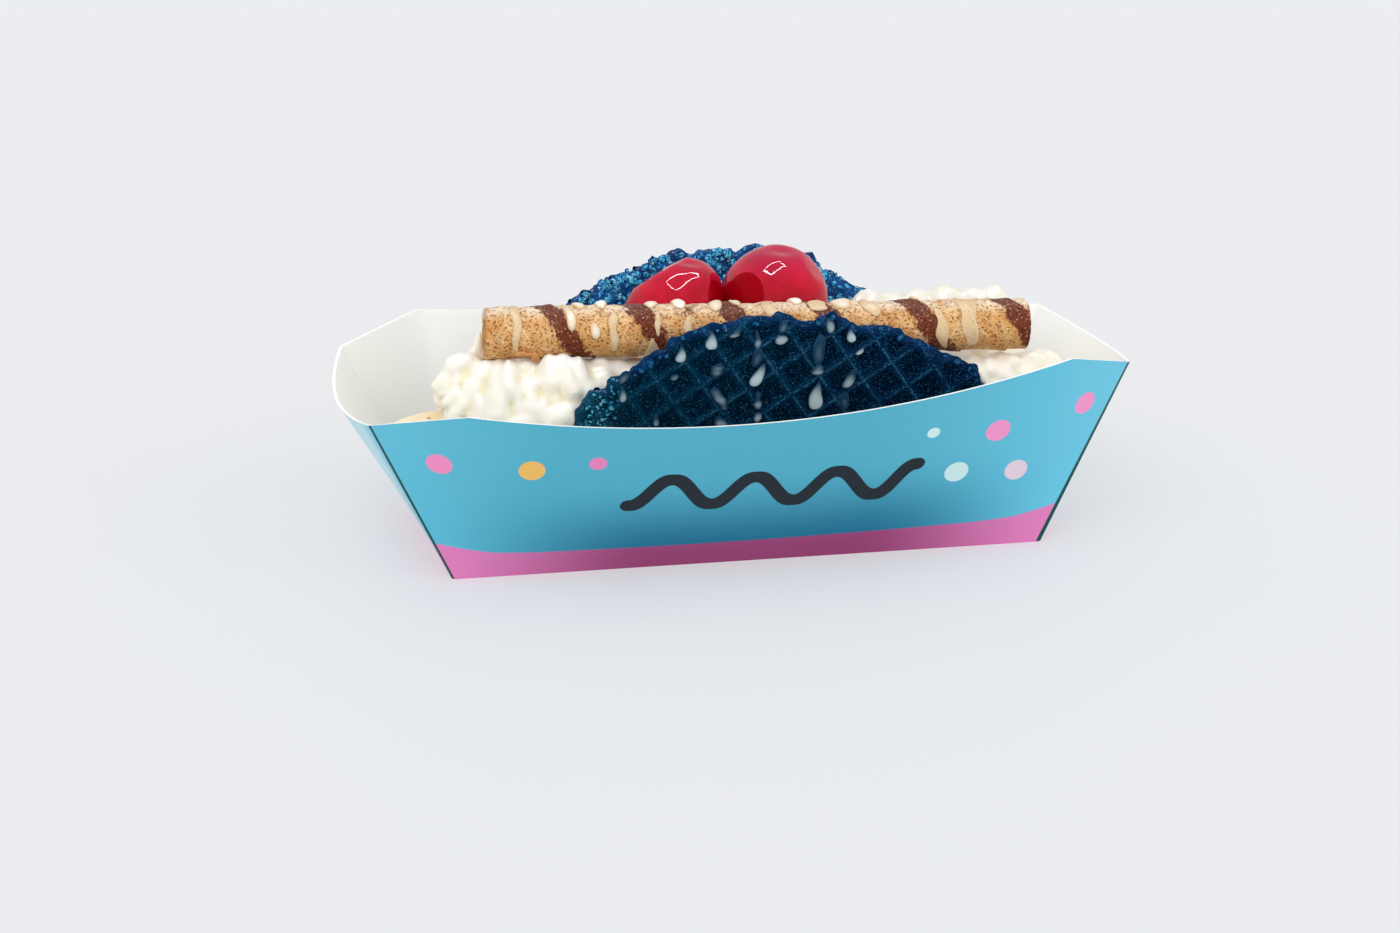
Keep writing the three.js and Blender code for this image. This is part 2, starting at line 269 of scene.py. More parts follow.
def addLamp(name, kind, place, turn, **settings):
    lamp = bpy.data.objects.new(name, bpy.data.lights.new(name, kind))
    lamp.location = place
    lamp.rotation_euler = turn
    for key, value in settings.items():
        setattr(lamp.data, key, value)
    bpy.context.collection.objects.link(lamp)
    return lamp


def makeLight():
    world = bpy.data.worlds.new("studio")
    world.use_nodes = True
    background = world.node_tree.nodes["Background"]
    background.inputs["Color"].default_value = studio["skyTone"]
    background.inputs["Strength"].default_value = studio["skyStrength"]
    bpy.context.scene.world = world
    for name, towards, strength, softness in studio["suns"]:
        turn = Vector(towards).to_track_quat("Z", "Y").to_euler()
        sun = addLamp(name, "SUN", (0, 0, 1), turn, energy=strength, angle=math.radians(softness))
        sun.visible_glossy = False
    glint = studio["glint"]
    c, s = math.cos(glint["turn"]), math.sin(glint["turn"])
    length, depth = glint["sides"]
    for k, (x, y) in enumerate([(0, -depth / 2), (length / 2, 0), (0, depth / 2), (-length / 2, 0)]):
        place = Vector(glint["place"]) + Vector((x * c - y * s, x * s + y * c, 0))
        size = (glint["width"], depth) if k % 2 else (length, glint["width"])
        settings = {"shape": "RECTANGLE", "size": size[0], "size_y": size[1], "energy": glint["power"]}
        lamp = addLamp(f"glint_{k}", "AREA", place, (0, 0, glint["turn"]), **settings)
        lamp.visible_diffuse = False


makeFloor()
makeLight()
bpy.context.scene.view_settings.view_transform = "Standard"
print("studio made")


# Tray: flat base, four flared walls, a tall point near each end of the long rims
tray = {
    "baseHalfLength": 72,
    "baseHalfWidth": 30,
    "board": 0.7,
    "peakShare": 0.86,  # place of the tall points, from 0 in the middle to 1 at a corner
    "endBulge": 4.5,
    "crease": 0.9,  # from a corner to the stations beside it
    "creaseDepth": 0.3,  # how far a corner is drawn in
    "rows": 14,
    "cornerSteps": 4,
    "sideSteps": 56,
    "endSteps": 20,
    "sharpAngle": 24,
    "tones": {
        "inside": tone(248, 248, 243), "clouds": tone(253, 252, 248), "leftPaintedShade": tone(236, 238, 232),
        "fibres": tone(230, 228, 219), "glow": tone(252, 252, 246),
        "edge": (tone(250, 250, 248), tone(255, 255, 254)),
    },
    "near": {
        "cornerStart": (-91, -36, 40.3), "peakStart": (-70, -52, 45.5), "middle": (1.6, -55, 41.3),
        "peakEnd": (73.2, -46, 50), "cornerEnd": (93, -30, 44), "endDip": 2.2,
    },
    "far": {
        "cornerStart": (91, 37, 42), "peakStart": (70, 50, 43), "middle": (0, 55, 41.6),
        "peakEnd": (-70, 52, 45), "cornerEnd": (-91, 35, 40.7), "endDip": 3,
    },
}


def sideStation(rim, step):  # step runs from -1 at the first corner to 1 at the last
    direction = math.copysign(1, rim["cornerEnd"][0] - rim["cornerStart"][0])
    baseY = math.copysign(tray["baseHalfWidth"], rim["middle"][1])
    base = np.array([direction * tray["baseHalfLength"] * step, baseY, 0.0])
    peak = tray["peakShare"]
    if step < -peak:
        return base, between(rim["cornerStart"], rim["peakStart"], (step + 1) / (1 - peak))
    if step > peak:
        return base, between(rim["peakEnd"], rim["cornerEnd"], (step - peak) / (1 - peak))
    start, middle, end = (np.array(rim[key], float) for key in ("peakStart", "middle", "peakEnd"))
    share = step / peak
    return base, middle + (end - start) / 2 * share + ((end + start) / 2 - middle) * share * share


def endStation(side, other, share):  # share runs from one long side's last corner to the other's first
    first, last = side["cornerEnd"], other["cornerStart"]
    outwards = math.copysign(1, first[0])
    arch = 4 * share * (1 - share)
    rim = between(first, last, share) + np.array([outwards * tray["endBulge"], 0, -side["endDip"]]) * arch
    baseY = between(math.copysign(1, first[1]), math.copysign(1, last[1]), share) * tray["baseHalfWidth"]
    return np.array([outwards * tray["baseHalfLength"], baseY, 0.0]), rim


def trayStations():  # (wall, base point, rim point), each wall from its first corner, without its last
    near, far, peak = tray["near"], tray["far"], tray["peakShare"]
    first = np.linspace(-1, -peak, tray["cornerSteps"] + 1)[:-1]  # mirrored at the wall's other end
    steps = [*first, *np.linspace(-peak, peak, tray["sideSteps"] + 1), *-first[:0:-1]]
    shares = np.linspace(0, 1, tray["endSteps"] + 1)[:-1]
    walls = [
        [sideStation(near, step) for step in steps],
        [endStation(near, far, share) for share in shares],
        [sideStation(far, step) for step in steps],
        [endStation(far, near, share) for share in shares],
    ]
    return [(wall, *station) for wall, stations in enumerate(walls) for station in stations]


def insetRing(ring, distance):  # moves a closed ring inwards, seen from above
    after = np.roll(ring, -1, 0) - ring
    normals = np.stack([-after[:, 1], after[:, 0]], 1) / np.linalg.norm(after[:, :2], axis=1)[:, None]
    before = np.roll(normals, 1, 0)
    move = (before + normals) * distance / (1 + (before * normals).sum(1))[:, None]
    return ring + np.pad(move, ((0, 0), (0, 1)))


def withCreases(walls, rings):  # a station close to each side of a corner, and the corner drawn in outside
    newWalls, creased, result = [], [], [[] for _ in rings]
    for k, wall in enumerate(walls):
        corner = walls[k - 1] != wall
        for side in ((-1, 0, 1) if corner else (0,)):
            newWalls.append(walls[k - 1] if side == -1 else wall)
            creased.append(corner and side == 0)
            for level, ring in enumerate(rings):
                away = ring[(k + side) % len(walls)] - ring[k] if side else -ring[k] * (1, 1, 0)
                distance = tray["crease"] if side else tray["creaseDepth"] * creased[-1] * (level < 2)
                result[level].append(ring[k] + away / np.linalg.norm(away) * distance)
    return newWalls, creased, [np.array(ring) for ring in result]


def makeTray():
    walls, base, rim = zip(*trayStations())
    base, rim, board = np.array(base), np.array(rim), tray["board"]
    rings = [base, rim, insetRing(rim, board * 1.1), insetRing(base, board * 0.7) + (0, 0, board)]
    walls, creased, (base, rim, innerRim, floor) = withCreases(walls, rings)
    shares = np.linspace(0, 1, tray["rows"])
    underside = [base * (share, share, 1) for share in (0.02, 0.5)]
    outer = underside + [between(base, rim, share) for share in shares]
    inner = [between(floor, innerRim, share) for share in shares[::-1]]
    inner += [floor * (share, share, 1) for share in (0.5, 0.02)]
    count = len(base)
    points = np.concatenate(outer + inner)
    faces = tubeFaces(len(outer + inner), count)
    mesh = newMesh("tray_board", points, faces)
    faceCounts = [(len(outer) - 1) * count, count, (len(inner) - 1) * count, 1, 1]
    mesh.polygons.foreach_set("material_index", np.repeat([0, 2, 1, 0, 1], faceCounts))
    place = points[np.concatenate(faces)]
    owner = np.tile(walls, len(outer + inner) - 1)
    owner = np.append(owner, [0, 0]).repeat([len(face) for face in faces])
    x, y, z = place.T
    out = np.where(owner % 2 == 0, np.abs(y) - tray["baseHalfWidth"], np.abs(x) - tray["baseHalfLength"])
    up = np.hypot(np.maximum(out, 0), z)
    addLayer(mesh, "print", [np.choose(owner, [x, y, -x, -y]), up, owner % 2], "CORNER")
    gaps = np.zeros(len(points))  # distance to the nearest corner of the tray, outside
    for row, ring in enumerate(outer[len(underside):], len(underside)):
        lengths = np.linalg.norm(ring[:, None] - ring[creased][None], axis=2)
        gaps[row * count:(row + 1) * count] = lengths.min(1)
    addLayer(mesh, "crease", [gaps])
    closeMesh(mesh)
    mesh.set_sharp_from_angle(angle=math.radians(tray["sharpAngle"]))
    addPiece(mesh, [printFinish(), insideFinish(), edgeFinish()], "paperboard", "tray")


# The print: blue board, a pink band along the bottom, scattered dots and one dark wavy line, with painted
# light and painted shade over it
printed = {
    "blue": tone(74, 167, 192),
    "highBlue": tone(86, 179, 202),
    "paintedLightBlue": tone(106, 199, 226),
    "paintedShadeBlue": tone(0, 106, 142),
    "endPaintedLight": tone(140, 212, 232),
    "endPaintedReflection": tone(206, 236, 243),
    "crease": tone(0, 74, 72),
    "band": tone(218, 124, 182),
    "paintedShadeBand": tone(138, 46, 100),
    "bandHeight": 7.4,
    "bandFlat": 50,
    "bandRise": 0.0036,
    "softEdge": 0.12,
    "dark": tone(20, 32, 42),
    "wave": {
        "from": -32, "to": 37, "middle": 25.5, "slope": -0.04, "swing": 4.4, "length": 19.714, "half": 1.9,
    },
    "dots": [
        # along the wall, up the wall, across the dot, colour
        (-75.6, 33.7, 5.8, tone(236, 140, 190)),
        (-55.0, 34.6, 6.1, tone(236, 186, 96)),
        (-40.1, 37.0, 4.1, tone(232, 130, 184)),
        (39.7, 37.8, 3.2, tone(205, 232, 232)),
        (56.4, 35.1, 6.2, tone(238, 146, 196)),
        (79.9, 36.6, 5.9, tone(238, 146, 196)),
        (47.4, 24.0, 6.0, tone(198, 228, 228)),
        (62.8, 22.1, 5.8, tone(222, 202, 216)),
    ],
}


def printFinish():
    finish = Finish("printed_board", Specular_IOR_Level=0.2)
    along, up, endWall = finish.layer("print")
    fromCorner = finish.layer("crease")[0]
    longWall = 1 - endWall
    soft = printed["softEdge"]
    # painted shade: the long walls darken towards the bottom of their middle, in the blue and in the pink
    # band
    depth = (1 - up.fade(4, 32)) * (1 - abs(along).fade(24, 74)) * longWall
    # painted light: the long walls turn paler towards both ends
    ends = along.fade(20, 92) * 0.85 + (0 - along).fade(46, 96) * 0.6
    colour = finish.over(
        printed["blue"],
        # painted light: the blue turns lighter towards the rim, mixed with random clouds of the same tone
        (up.fade(4, 46) * 0.5 + finish.noise(14, 2) * 0.1, printed["highBlue"]),
        (ends * longWall, printed["paintedLightBlue"]),
        # painted light: the end walls are paler all over, and a painted reflection makes them palest away
        # from the corners, higher up
        (endWall * 0.7, printed["endPaintedLight"]),
        (endWall * fromCorner.fade(0.5, 7) * up.fade(8, 30) * 0.7, printed["endPaintedReflection"]),
        (depth, printed["paintedShadeBlue"]),
    )
    for x, y, across, dotTone in printed["dots"]:
        distance = ((along - x) ** 2 + (up - y) ** 2).root()
        dot = 1 - distance.fade(across / 2 - soft, across / 2 + soft)
        colour = finish.blend(dot * (endWall < 0.5), colour, dotTone)
    wave = printed["wave"]
    place = along.most(wave["from"]).least(wave["to"])
    turn = (place - wave["from"]) * (fullTurn / wave["length"])
    line = wave["middle"] + place * wave["slope"] - (turn + math.pi / 2).sine() * wave["swing"]
    tilt = (turn.sine() * (fullTurn * wave["swing"] / wave["length"])) ** 2
    distance = (((up - line) ** 2) / (tilt + 1) + (along - place) ** 2).root()
    waveMask = (1 - distance.fade(wave["half"] - soft, wave["half"] + soft)) * (endWall < 0.5)
    beyond = (abs(along) - printed["bandFlat"] * longWall).most(0)
    rise = (beyond ** 2) * printed["bandRise"] * longWall + endWall * 2.2
    bandTop = printed["bandHeight"] + rise
    # painted shade: a dark line along each corner crease, wider on one side of each long wall
    fromCrease = fromCorner - (along > 0) * longWall * 0.7
    colour = finish.over(
        colour,
        (waveMask, printed["dark"]),
        (1 - up.fade(bandTop - soft, bandTop + soft),
         finish.blend(depth * 0.9, printed["band"], printed["paintedShadeBand"])),
        ((1 - fromCrease.fade(0.35, 0.62)) * up.fade(0.0, 0.3), printed["crease"]),
    )
    grain = finish.noise(0.5, 2)
    return finish.surface(colour, 0.34 + grain * 0.12, grain * 0.012 + finish.noise(3) * 0.02)


def insideFinish():
    finish = Finish("board_inside", Specular_IOR_Level=0.2, Emission_Strength=0.09)
    tones = tray["tones"]
    x = finish.parts(finish.place)[0]
    leftEnd = finish.layer("print")[2] * (x < 0)
    fibres = finish.noise(0.6, 4, finish.vector("MULTIPLY", finish.place, (0.35, 1, 1)))
    colour = finish.over(
        tones["inside"],
        (finish.noise(18, 2), tones["clouds"]),
        # painted shade: the inside turns a little darker towards the left
        ((0 - x).fade(0, 80) * 0.7, tones["leftPaintedShade"]),
        ((fibres > 0.66) * 0.2, tones["fibres"]),
    )
    # painted light: the inner face of the left end wall glows faintly
    glow = finish.blend(leftEnd, (0, 0, 0, 1), tones["glow"])
    return finish.surface(colour, 0.62 + fibres * 0.1, fibres * 0.015, Emission_Color=glow)


def edgeFinish():
    finish = Finish("board_edge")
    layers = finish.noise(0.25, 2)
    return finish.surface(finish.blend(layers, *tray["tones"]["edge"]), 0.75, layers * 0.03)


makeTray()
print("tray made")


# Waffle shell: one disc folded into a U, its leaves leaning apart
shell = {
    "centreX": 5,
    "halfLength": 65.5,
    "halfWidth": 70.5,
    "foldRadius": 16,
    "thickness": 2.8,
    "nearLean": 0.25,
    "farLean": 0.36,
    "farExtra": 2.2,
    "turn": 0.045,
    "lowest": 1.2,
    "cell": 8,
    "gridAngle": math.radians(-34.5),
    "gridPhase": (6.96, 4.6),
    "sunk": 0.7,
    "ridge": 0.8,
    "rounding": 1.5,
    "lumps": (2.6, 0.22, 1),
    "ragged": [(0.9, 0.9, 0), (2.2, 0.7, 3)],
    "raggedReach": 2.5,
    "beadSize": 2.4,
    "crustReach": (7.0, 2.5),  # of the far leaf and the near one
    "crustFrom": 38,
    "scallop": (0.5, 23),  # height, number round the disc
    # degrees round from +X, height, width
    "nearBumps": [
        (45, 5, 14), (64, 1, 5), (82, -2.4, 3), (107, 0.9, 7), (119, -1, 4), (134, 1, 4), (141, -4, 3),
        (129.5, -2.4, 1.6), (124, -1, 2.4), (115, -1.2, 2), (99, -0.8, 5), (84, -0.8, 1.2), (77.5, 0.8, 2),
        (70, -0.8, 3), (52, -1.6, 3), (43, 1.2, 2.4), (120, -0.8, 22), (60, -0.4, 20), (134.5, -1, 3),
        (65.4, -0.8, 2.5), (48, -1.1, 3), (77, 0.9, 3),
    ],
    "farBumps": [
        (56, 2.4, 14), (68, 1.6, 4), (81, 0.9, 3), (85.5, -1.6, 2), (100, 0.5, 5), (122, 2.2, 5),
        (65.2, -3.2, 2.2), (58, -1.9, 3), (60.7, -0.8, 1.5), (48, -3.8, 5), (95.6, -1.6, 1.6),
        (89.2, 0.3, 1.6),
    ],
    "rings": 98,
    "rimRings": (0, 0.14, 0.45, 0.9, 1.5),
    "tones": {
        # teal and navy: on a ridge, in a hollow
        "teal": (tone(2, 44, 66), tone(0, 21, 37)), "navy": (tone(2, 32, 66), tone(0, 11, 33)),
        "inner": (tone(6, 46, 100), tone(18, 86, 150)), "grain": tone(18, 70, 104),
        "ridge": tone(60, 120, 156), "rim": tone(8, 56, 110), "leftEnd": tone(4, 84, 106),
        "specks": tone(88, 160, 196),
    },
}


def fold(along, across, inwards):  # bends the flat disc, with inwards measured from its outer face
    lean = np.where(across < 0, shell["nearLean"], shell["farLean"])
    full = math.pi / 2 - lean
    radius = shell["foldRadius"]
    angle = np.minimum(np.abs(across) / radius, full)
    straight = np.maximum(np.abs(across) - full * radius, 0)
    reach = radius - inwards
    y = np.sign(across) * (reach * np.sin(angle) + straight * np.cos(angle))
    z = radius - reach * np.cos(angle) + straight * np.sin(angle)
    c, s = math.cos(shell["turn"]), math.sin(shell["turn"])
    return np.stack([shell["centreX"] + along * c - y * s, along * s + y * c, shell["lowest"] + z], -1)


def unfold(points):  # the reverse of fold: along, across and inwards of places in space
    c, s = math.cos(shell["turn"]), math.sin(shell["turn"])
    x = points[:, 0] - shell["centreX"]
    y = points[:, 1] * c - x * s
    rise = points[:, 2] - shell["lowest"] - shell["foldRadius"]
    full = math.pi / 2 - np.where(y < 0, shell["nearLean"], shell["farLean"])
    angle = np.minimum(np.arctan2(np.abs(y), -rise), full)
    reach = np.abs(y) * np.sin(angle) - rise * np.cos(angle)
    straight = np.maximum(np.abs(y) * np.cos(full) + rise * np.sin(full), 0) * (angle >= full)
    across = np.sign(y) * (angle * shell["foldRadius"] + straight)
    return x * c + points[:, 1] * s, across, shell["foldRadius"] - reach


def rimReach(angle):  # how far the rim stands out from an even disc, angle in degrees from 0 to 360
    near = angle > 180
    fromRight = np.where(near, 360 - angle, angle)
    height, count = shell["scallop"]
    out = height * np.sin(np.radians(fromRight) * count)
    for bumps, mask in ((shell["nearBumps"], near), (shell["farBumps"], ~near)):
        for at, size, width in bumps:
            out = out + mask * size * np.exp(-((fromRight - at) / width) ** 2)
    return out


def discEdge(angle):  # flat place of the rim, angle in radians
    out = rimReach(np.degrees(angle) % 360)
    along = (shell["halfLength"] + out) * np.cos(angle)
    across = (shell["halfWidth"] + out) * np.sin(angle) + shell["farExtra"] * np.abs(np.sin(angle))
    return along, across


def insideRim(along, across):  # how far a flat place lies inside the rim
    turn = np.arctan2(across / shell["halfWidth"], along / shell["halfLength"])
    return np.hypot(*discEdge(turn)) - np.hypot(along, across)


def gridPlace(along, across):  # place along and across the waffle pattern, for arrays and Flow values
    c, s = math.cos(shell["gridAngle"]), math.sin(shell["gridAngle"])
    return along * c + across * s - shell["gridPhase"][0], across * c - along * s - shell["gridPhase"][1]


def gridDistance(along, across):  # distance to the nearest ridge of the waffle pattern
    cell = shell["cell"]
    return np.minimum(*(np.abs((value / cell + 0.5) % 1 - 0.5) * cell for value in gridPlace(along, across)))


def squareToDisc(rings):  # a square grid drawn round: the ring and the angle of each of its points
    axis = np.arange(-rings, rings + 1)
    a, b = np.meshgrid(axis, axis, indexing="ij")
    ring = np.maximum(np.abs(a), np.abs(b))
    step = math.pi / 4 / np.maximum(ring, 1)
    upright = np.sign(b) * (math.pi / 2 - step * a)
    level = np.sign(a) * step * b + math.pi * (a < 0)
    return ring, np.where(np.abs(b) > np.abs(a), upright, level) % fullTurn


def discPlaces(ring, angle):  # flat places of the disc's points, and how far each lies inside the rim
    rimRings = np.array(shell["rimRings"])
    last = len(rimRings) - 1
    edgeAlong, edgeAcross = discEdge(angle)
    size = np.hypot(edgeAlong, edgeAcross)
    circle = np.stack([np.cos(angle) * 30, np.sin(angle) * 30, angle * 0], -1)
    ragged = sum(noiseAt(circle, *grade) for grade in shell["ragged"])
    fromRim = shell["rings"] - ring
    inside = (size - rimRings[last]) * (fromRim - last) / (shell["rings"] - last) + rimRings[last]
    distance = np.where(fromRim <= last, rimRings[np.minimum(fromRim, last)], inside)
    share = np.maximum(1 - distance / size, 0)
    share = share * (1 + ragged / size * np.exp(-distance / shell["raggedReach"]))
    return edgeAlong * share, edgeAcross * share, distance


def faceDepths(along, across, distance):  # how deep the outer and the inner face lie in the sheet
    flat = np.stack([along, across, along * 0], -1)
    places = [Vector(place) / shell["beadSize"] for place in flat.reshape(-1, 3).tolist()]
    beads = np.clip(0.75 - np.reshape([noise.voronoi(place)[0][0] for place in places], along.shape), 0, 1)
    nearRim = np.exp(-distance / np.where(across > 0, *shell["crustReach"]))
    farUpper = (across > 0) * np.clip((across - shell["crustFrom"]) / 10, 0, 1)
    crust = beads * (0.25 + 1.1 * np.maximum(nearRim, farUpper * 0.8))
    half = shell["thickness"] / 2
    ridge = np.exp(-(gridDistance(along, across) / shell["ridge"]) ** 2)
    rounding = np.sqrt(1 - (1 - np.minimum(distance / shell["rounding"], 1)) ** 2)
    face = (half - shell["sunk"] * (1 - ridge)) * rounding + noiseAt(flat, *shell["lumps"])
    return np.minimum(half - face - crust * 0.35, half), np.maximum(half + face + crust * 0.8, half)


def makeShell():
    ring, angle = squareToDisc(shell["rings"])
    flat = discPlaces(ring, angle)
    outer, inner = (fold(flat[0], flat[1], depth) for depth in faceDepths(*flat))
    onRim = ring == shell["rings"]
    outer[onRim] = (outer + inner)[onRim] / 2  # both faces share the rim's points
    faces = gridFaces(*ring.shape)
    innerIndex = np.arange(ring.size) + ring.size * ~onRim.ravel()
    faces = np.concatenate([faces, innerIndex[faces][:, ::-1]])
    points = np.concatenate([outer.reshape(-1, 3), inner.reshape(-1, 3)])
    flat = [np.tile(values.ravel(), 2) for values in flat]
    mesh = newMesh("waffle_disc", points, faces.tolist(), flat=flat, side=[np.repeat((0, 1), ring.size)])
    addPiece(closeMesh(mesh), [waffleFinish()], "waffle", "waffle_shell")


def waffleFinish():
    finish = Finish("blue_waffle", Specular_IOR_Level=0.0, Coat_Roughness=0.12)
    tones = shell["tones"]
    along, across, fromRim = finish.layer("flat")
    inner = finish.layer("side")[0].fade(0.4, 0.6)
    cell = shell["cell"]
    near = [abs((value / cell + 0.5).fract() - 0.5) * cell for value in gridPlace(along, across)]
    nearest = near[0].least(near[1])
    grain = finish.noise(0.36, 4)
    specks = finish.cells(0.62)
    rim = 1 - fromRim.fade(0.4, 2.8)
    # painted light: lighter teal towards the left end of the leaves, where grazing light falls
    leftEnd = (0 - along).fade(30, 54)
    worn = finish.noise(0.5).fade(0.42, 0.58) * finish.noise(4).fade(0.36, 0.62)
    ridge = (1 - nearest.fade(0.05, 0.45)) * worn * (0.4 + along.fade(-34, -6) * 0.6)
    hollow = nearest.fade(0.3, 1.7)
    # painted glints: scattered pale specks, more at the left end and on the inner face
    glintSpeckMask = (1 - specks.fade(0.14, 0.34)) * finish.noise(1.7).fade(0.38, 0.56)
    colour = finish.over(
        finish.blend(hollow, *tones["teal"]),
        (along.fade(-30, 45), finish.blend(hollow, *tones["navy"])),
        (grain.fade(0.48, 0.64) * 0.5, tones["grain"]),
        (ridge * 0.65, tones["ridge"]),
        (rim * 0.4, tones["rim"]),
        (leftEnd * 0.6, tones["leftEnd"]),
        (inner, finish.blend(finish.noise(5).fade(0.35, 0.7), *tones["inner"])),
        (glintSpeckMask * (0.32 + leftEnd * 0.6 + inner * 0.5), tones["specks"]),
    )
    height = grain * 0.22 + specks * 0.12 + finish.noise(1.6) * 0.14
    coat = inner * 0.25 + leftEnd * 0.3 + rim * 0.1
    return finish.surface(colour, 0.7 - inner * 0.3, height, Coat_Weight=coat)


makeShell()
print("waffle shell made")


# Crumbs: glossy beads of batter on the far leaf's inner side, along both rims and at the left end
crumbs = {
    "seed": 4,
    "spacing": 1.3,
    "reach": 76,
    "jitter": 0.6,
    "squash": 0.34,
    "rough": 0.16,
    "tones": {
        "deep": tone(0, 34, 96), "bright": tone(2, 100, 168), "pale": tone(14, 128, 186),
        "near": tone(3, 48, 92), "leftEnd": tone(2, 96, 116), "underPaintedShade": tone(0, 16, 46),
        "grain": tone(108, 216, 244), "paintedGlints": tone(216, 242, 248),
    },
    "areas": [
        # side of the sheet (1 is the inner), across, along, distance inside the rim, share, radius
        (1, (42, 80), (-60, 60), (0.3, 26), 0.75, (0.5, 1.35)),
        (0, (15, 80), (-66, 66), (0.3, 1.8), 0.5, (0.5, 0.9)),
        (0, (-80, -15), (-66, 66), (0.3, 1.5), 0.45, (0.45, 0.9)),
        (1, (-80, -15), (-66, 66), (0.9, 2.5), 0.45, (0.45, 0.8)),
        (0, (-62, -15), (-62, -36), (0.8, 9), 0.85, (0.35, 0.7)),
    ],
}


def unitBall():  # points and faces of a ball of radius 1
    ball = bmesh.new()
    bmesh.ops.create_icosphere(ball, subdivisions=2, radius=1)
    points = np.array([vert.co for vert in ball.verts])
    faces = np.array([[vert.index for vert in face.verts] for face in ball.faces])
    ball.free()
    return points, faces


# centres, sizes and outward directions of the crumbs in one area
def crumbPlaces(random, side, acrossRange, alongRange, insideRange, share, sizeRange):
    steps = np.arange(-crumbs["reach"], crumbs["reach"], crumbs["spacing"])
    grid = np.meshgrid(steps, steps, indexing="ij")
    jitter = crumbs["jitter"]
    along, across = (value.ravel() + random.uniform(-jitter, jitter, value.size) for value in grid)
    inside = insideRim(along, across)
    keep = random.random(along.size) < share
    for value, (low, high) in ((across, acrossRange), (along, alongRange), (inside, insideRange)):
        keep &= (value > low) & (value < high)
    depth = shell["thickness"] - shell["sunk"] if side else shell["sunk"] * 0.6
    depth = depth + (shell["thickness"] / 2 - depth) * np.clip(1 - inside / 1.4, 0, 1) ** 2
    centres = fold(along, across, depth)
    outwards = (fold(along, across, depth + 1) - centres) * (1 if side else -1)
    sizes = random.uniform(*sizeRange, along.size)
    return centres[keep], sizes[keep], outwards[keep]


def makeCrumbs():
    random = np.random.default_rng(crumbs["seed"])
    unit, faces = unitBall()
    areas = [crumbPlaces(random, *area) for area in crumbs["areas"]]
    centres, sizes, outwards = (np.concatenate(values) for values in zip(*areas))
    count, corners = len(centres), len(unit)
    squash, rough = crumbs["squash"], crumbs["rough"]
    points = np.einsum("vi,nij->nvj", unit, np.eye(3) + random.uniform(-squash, squash, (count, 3, 3)))
    points = points * (1 + random.uniform(-rough, rough, (count, corners, 1)))
    points = points * sizes[:, None, None] + centres[:, None, :]
    faces = (faces + np.arange(count)[:, None, None] * corners).reshape(-1, 3)
    tint = np.repeat(random.random(count), corners)
    rise = np.einsum("vi,ni->nv", unit, outwards).ravel()
    mesh = newMesh("leaf_crumbs", points.reshape(-1, 3), faces.tolist(), tint=[tint, rise])
    addPiece(mesh, [crumbFinish()], "waffle")
    print(count, "crumbs")


def crumbFinish():
    finish = Finish("waffle_crumbs", Specular_IOR_Level=0.0, Coat_Roughness=0.1)
    tones = crumbs["tones"]
    tint, rise, _ = finish.layer("tint")
    x, y, _ = finish.parts(finish.place)
    grain = finish.noise(0.5)
    near = (0 - y).fade(0, 8)
    # painted light: crumbs at the near leaf's left end are lighter teal, where grazing light falls
    leftEnd = (0 - x).fade(24, 40) * near
    crest = rise.fade(0.3, 0.9)
    # painted highlights: bright cyan grain on the outward tops of the crumbs, weaker on the near leaf but
    # not at its left end
    shine = crest * (1 - (near - leftEnd) * 0.85)
    # painted glints: white spots on the outward tops of the crumbs
    paintedGlints = finish.spots(1.3, 0.12, 0.34) * finish.noise(2.4).fade(0.4, 0.54) * shine
    colour = finish.over(
        tones["deep"],
        (finish.noise(3.6, 2).fade(0.38, 0.6), tones["bright"]),
        (tint.fade(0.3, 1.0) * 0.5, tones["pale"]),
        (near * 0.75, finish.blend(leftEnd, tones["near"], tones["leftEnd"])),
        # painted shade: the undersides of the crumbs are darker
        (1 - rise.fade(-0.2, 0.6), tones["underPaintedShade"]),
        (grain.fade(0.46, 0.58) * shine * 0.9, tones["grain"]),
        (paintedGlints * 0.9, tones["paintedGlints"]),
    )
    return finish.surface(colour, 0.42 + grain * 0.2, grain * 0.4, Coat_Weight=crest * 0.25)


makeCrumbs()
print("crumbs made")


# Rolled wafer: a strip wound into a tube, with cocoa bands and a pale brown filling
wafer = {
    "from": (-60.5, -8.2, 53.5),
    "to": (71.3, -14.3, 50.7),
    "radius": 6.2,
    "bore": 3.6,
    "recess": 1.2,
    "layer": 0.85,
    "edge": 0.45,
    "waver": (7, 0.05, 5),
    "chips": (2.0, 0.5, 8),
    "lumps": [(5.5, 0.34, 6), (1.9, 0.16, 7)],
    "tones": {
        "crust": (tone(233, 190, 135), tone(212, 157, 94)), "patches": tone(200, 132, 66),
        "toast": tone(214, 146, 76), "seam": tone(176, 108, 54), "glazeAndTopLight": tone(248, 234, 210),
        "pits": tone(150, 80, 36), "filling": tone(206, 160, 108),
        "cocoa": (tone(84, 28, 12), tone(132, 58, 36)), "cocoaSpecks": tone(212, 158, 132),
        "cocoaPatches": tone(58, 18, 8),
    },
    "pitch": 20.53,
    "pitchGrowth": 0.325,
    "firstBand": 14.4,
    "bandHalf": 2.9,
    "seams": (0.13, 0.60),
    "step": 0.34,
    "rows": 300,
    "columns": 128,
}
waferStart = np.array(wafer["from"])
waferLength = float(np.linalg.norm(np.array(wafer["to"]) - waferStart))
waferAxis = (np.array(wafer["to"]) - waferStart) / waferLength
waferTowards = -np.cross((0, 0, 1), waferAxis)
waferTowards /= np.linalg.norm(waferTowards)
waferUp = np.cross(waferTowards, waferAxis)


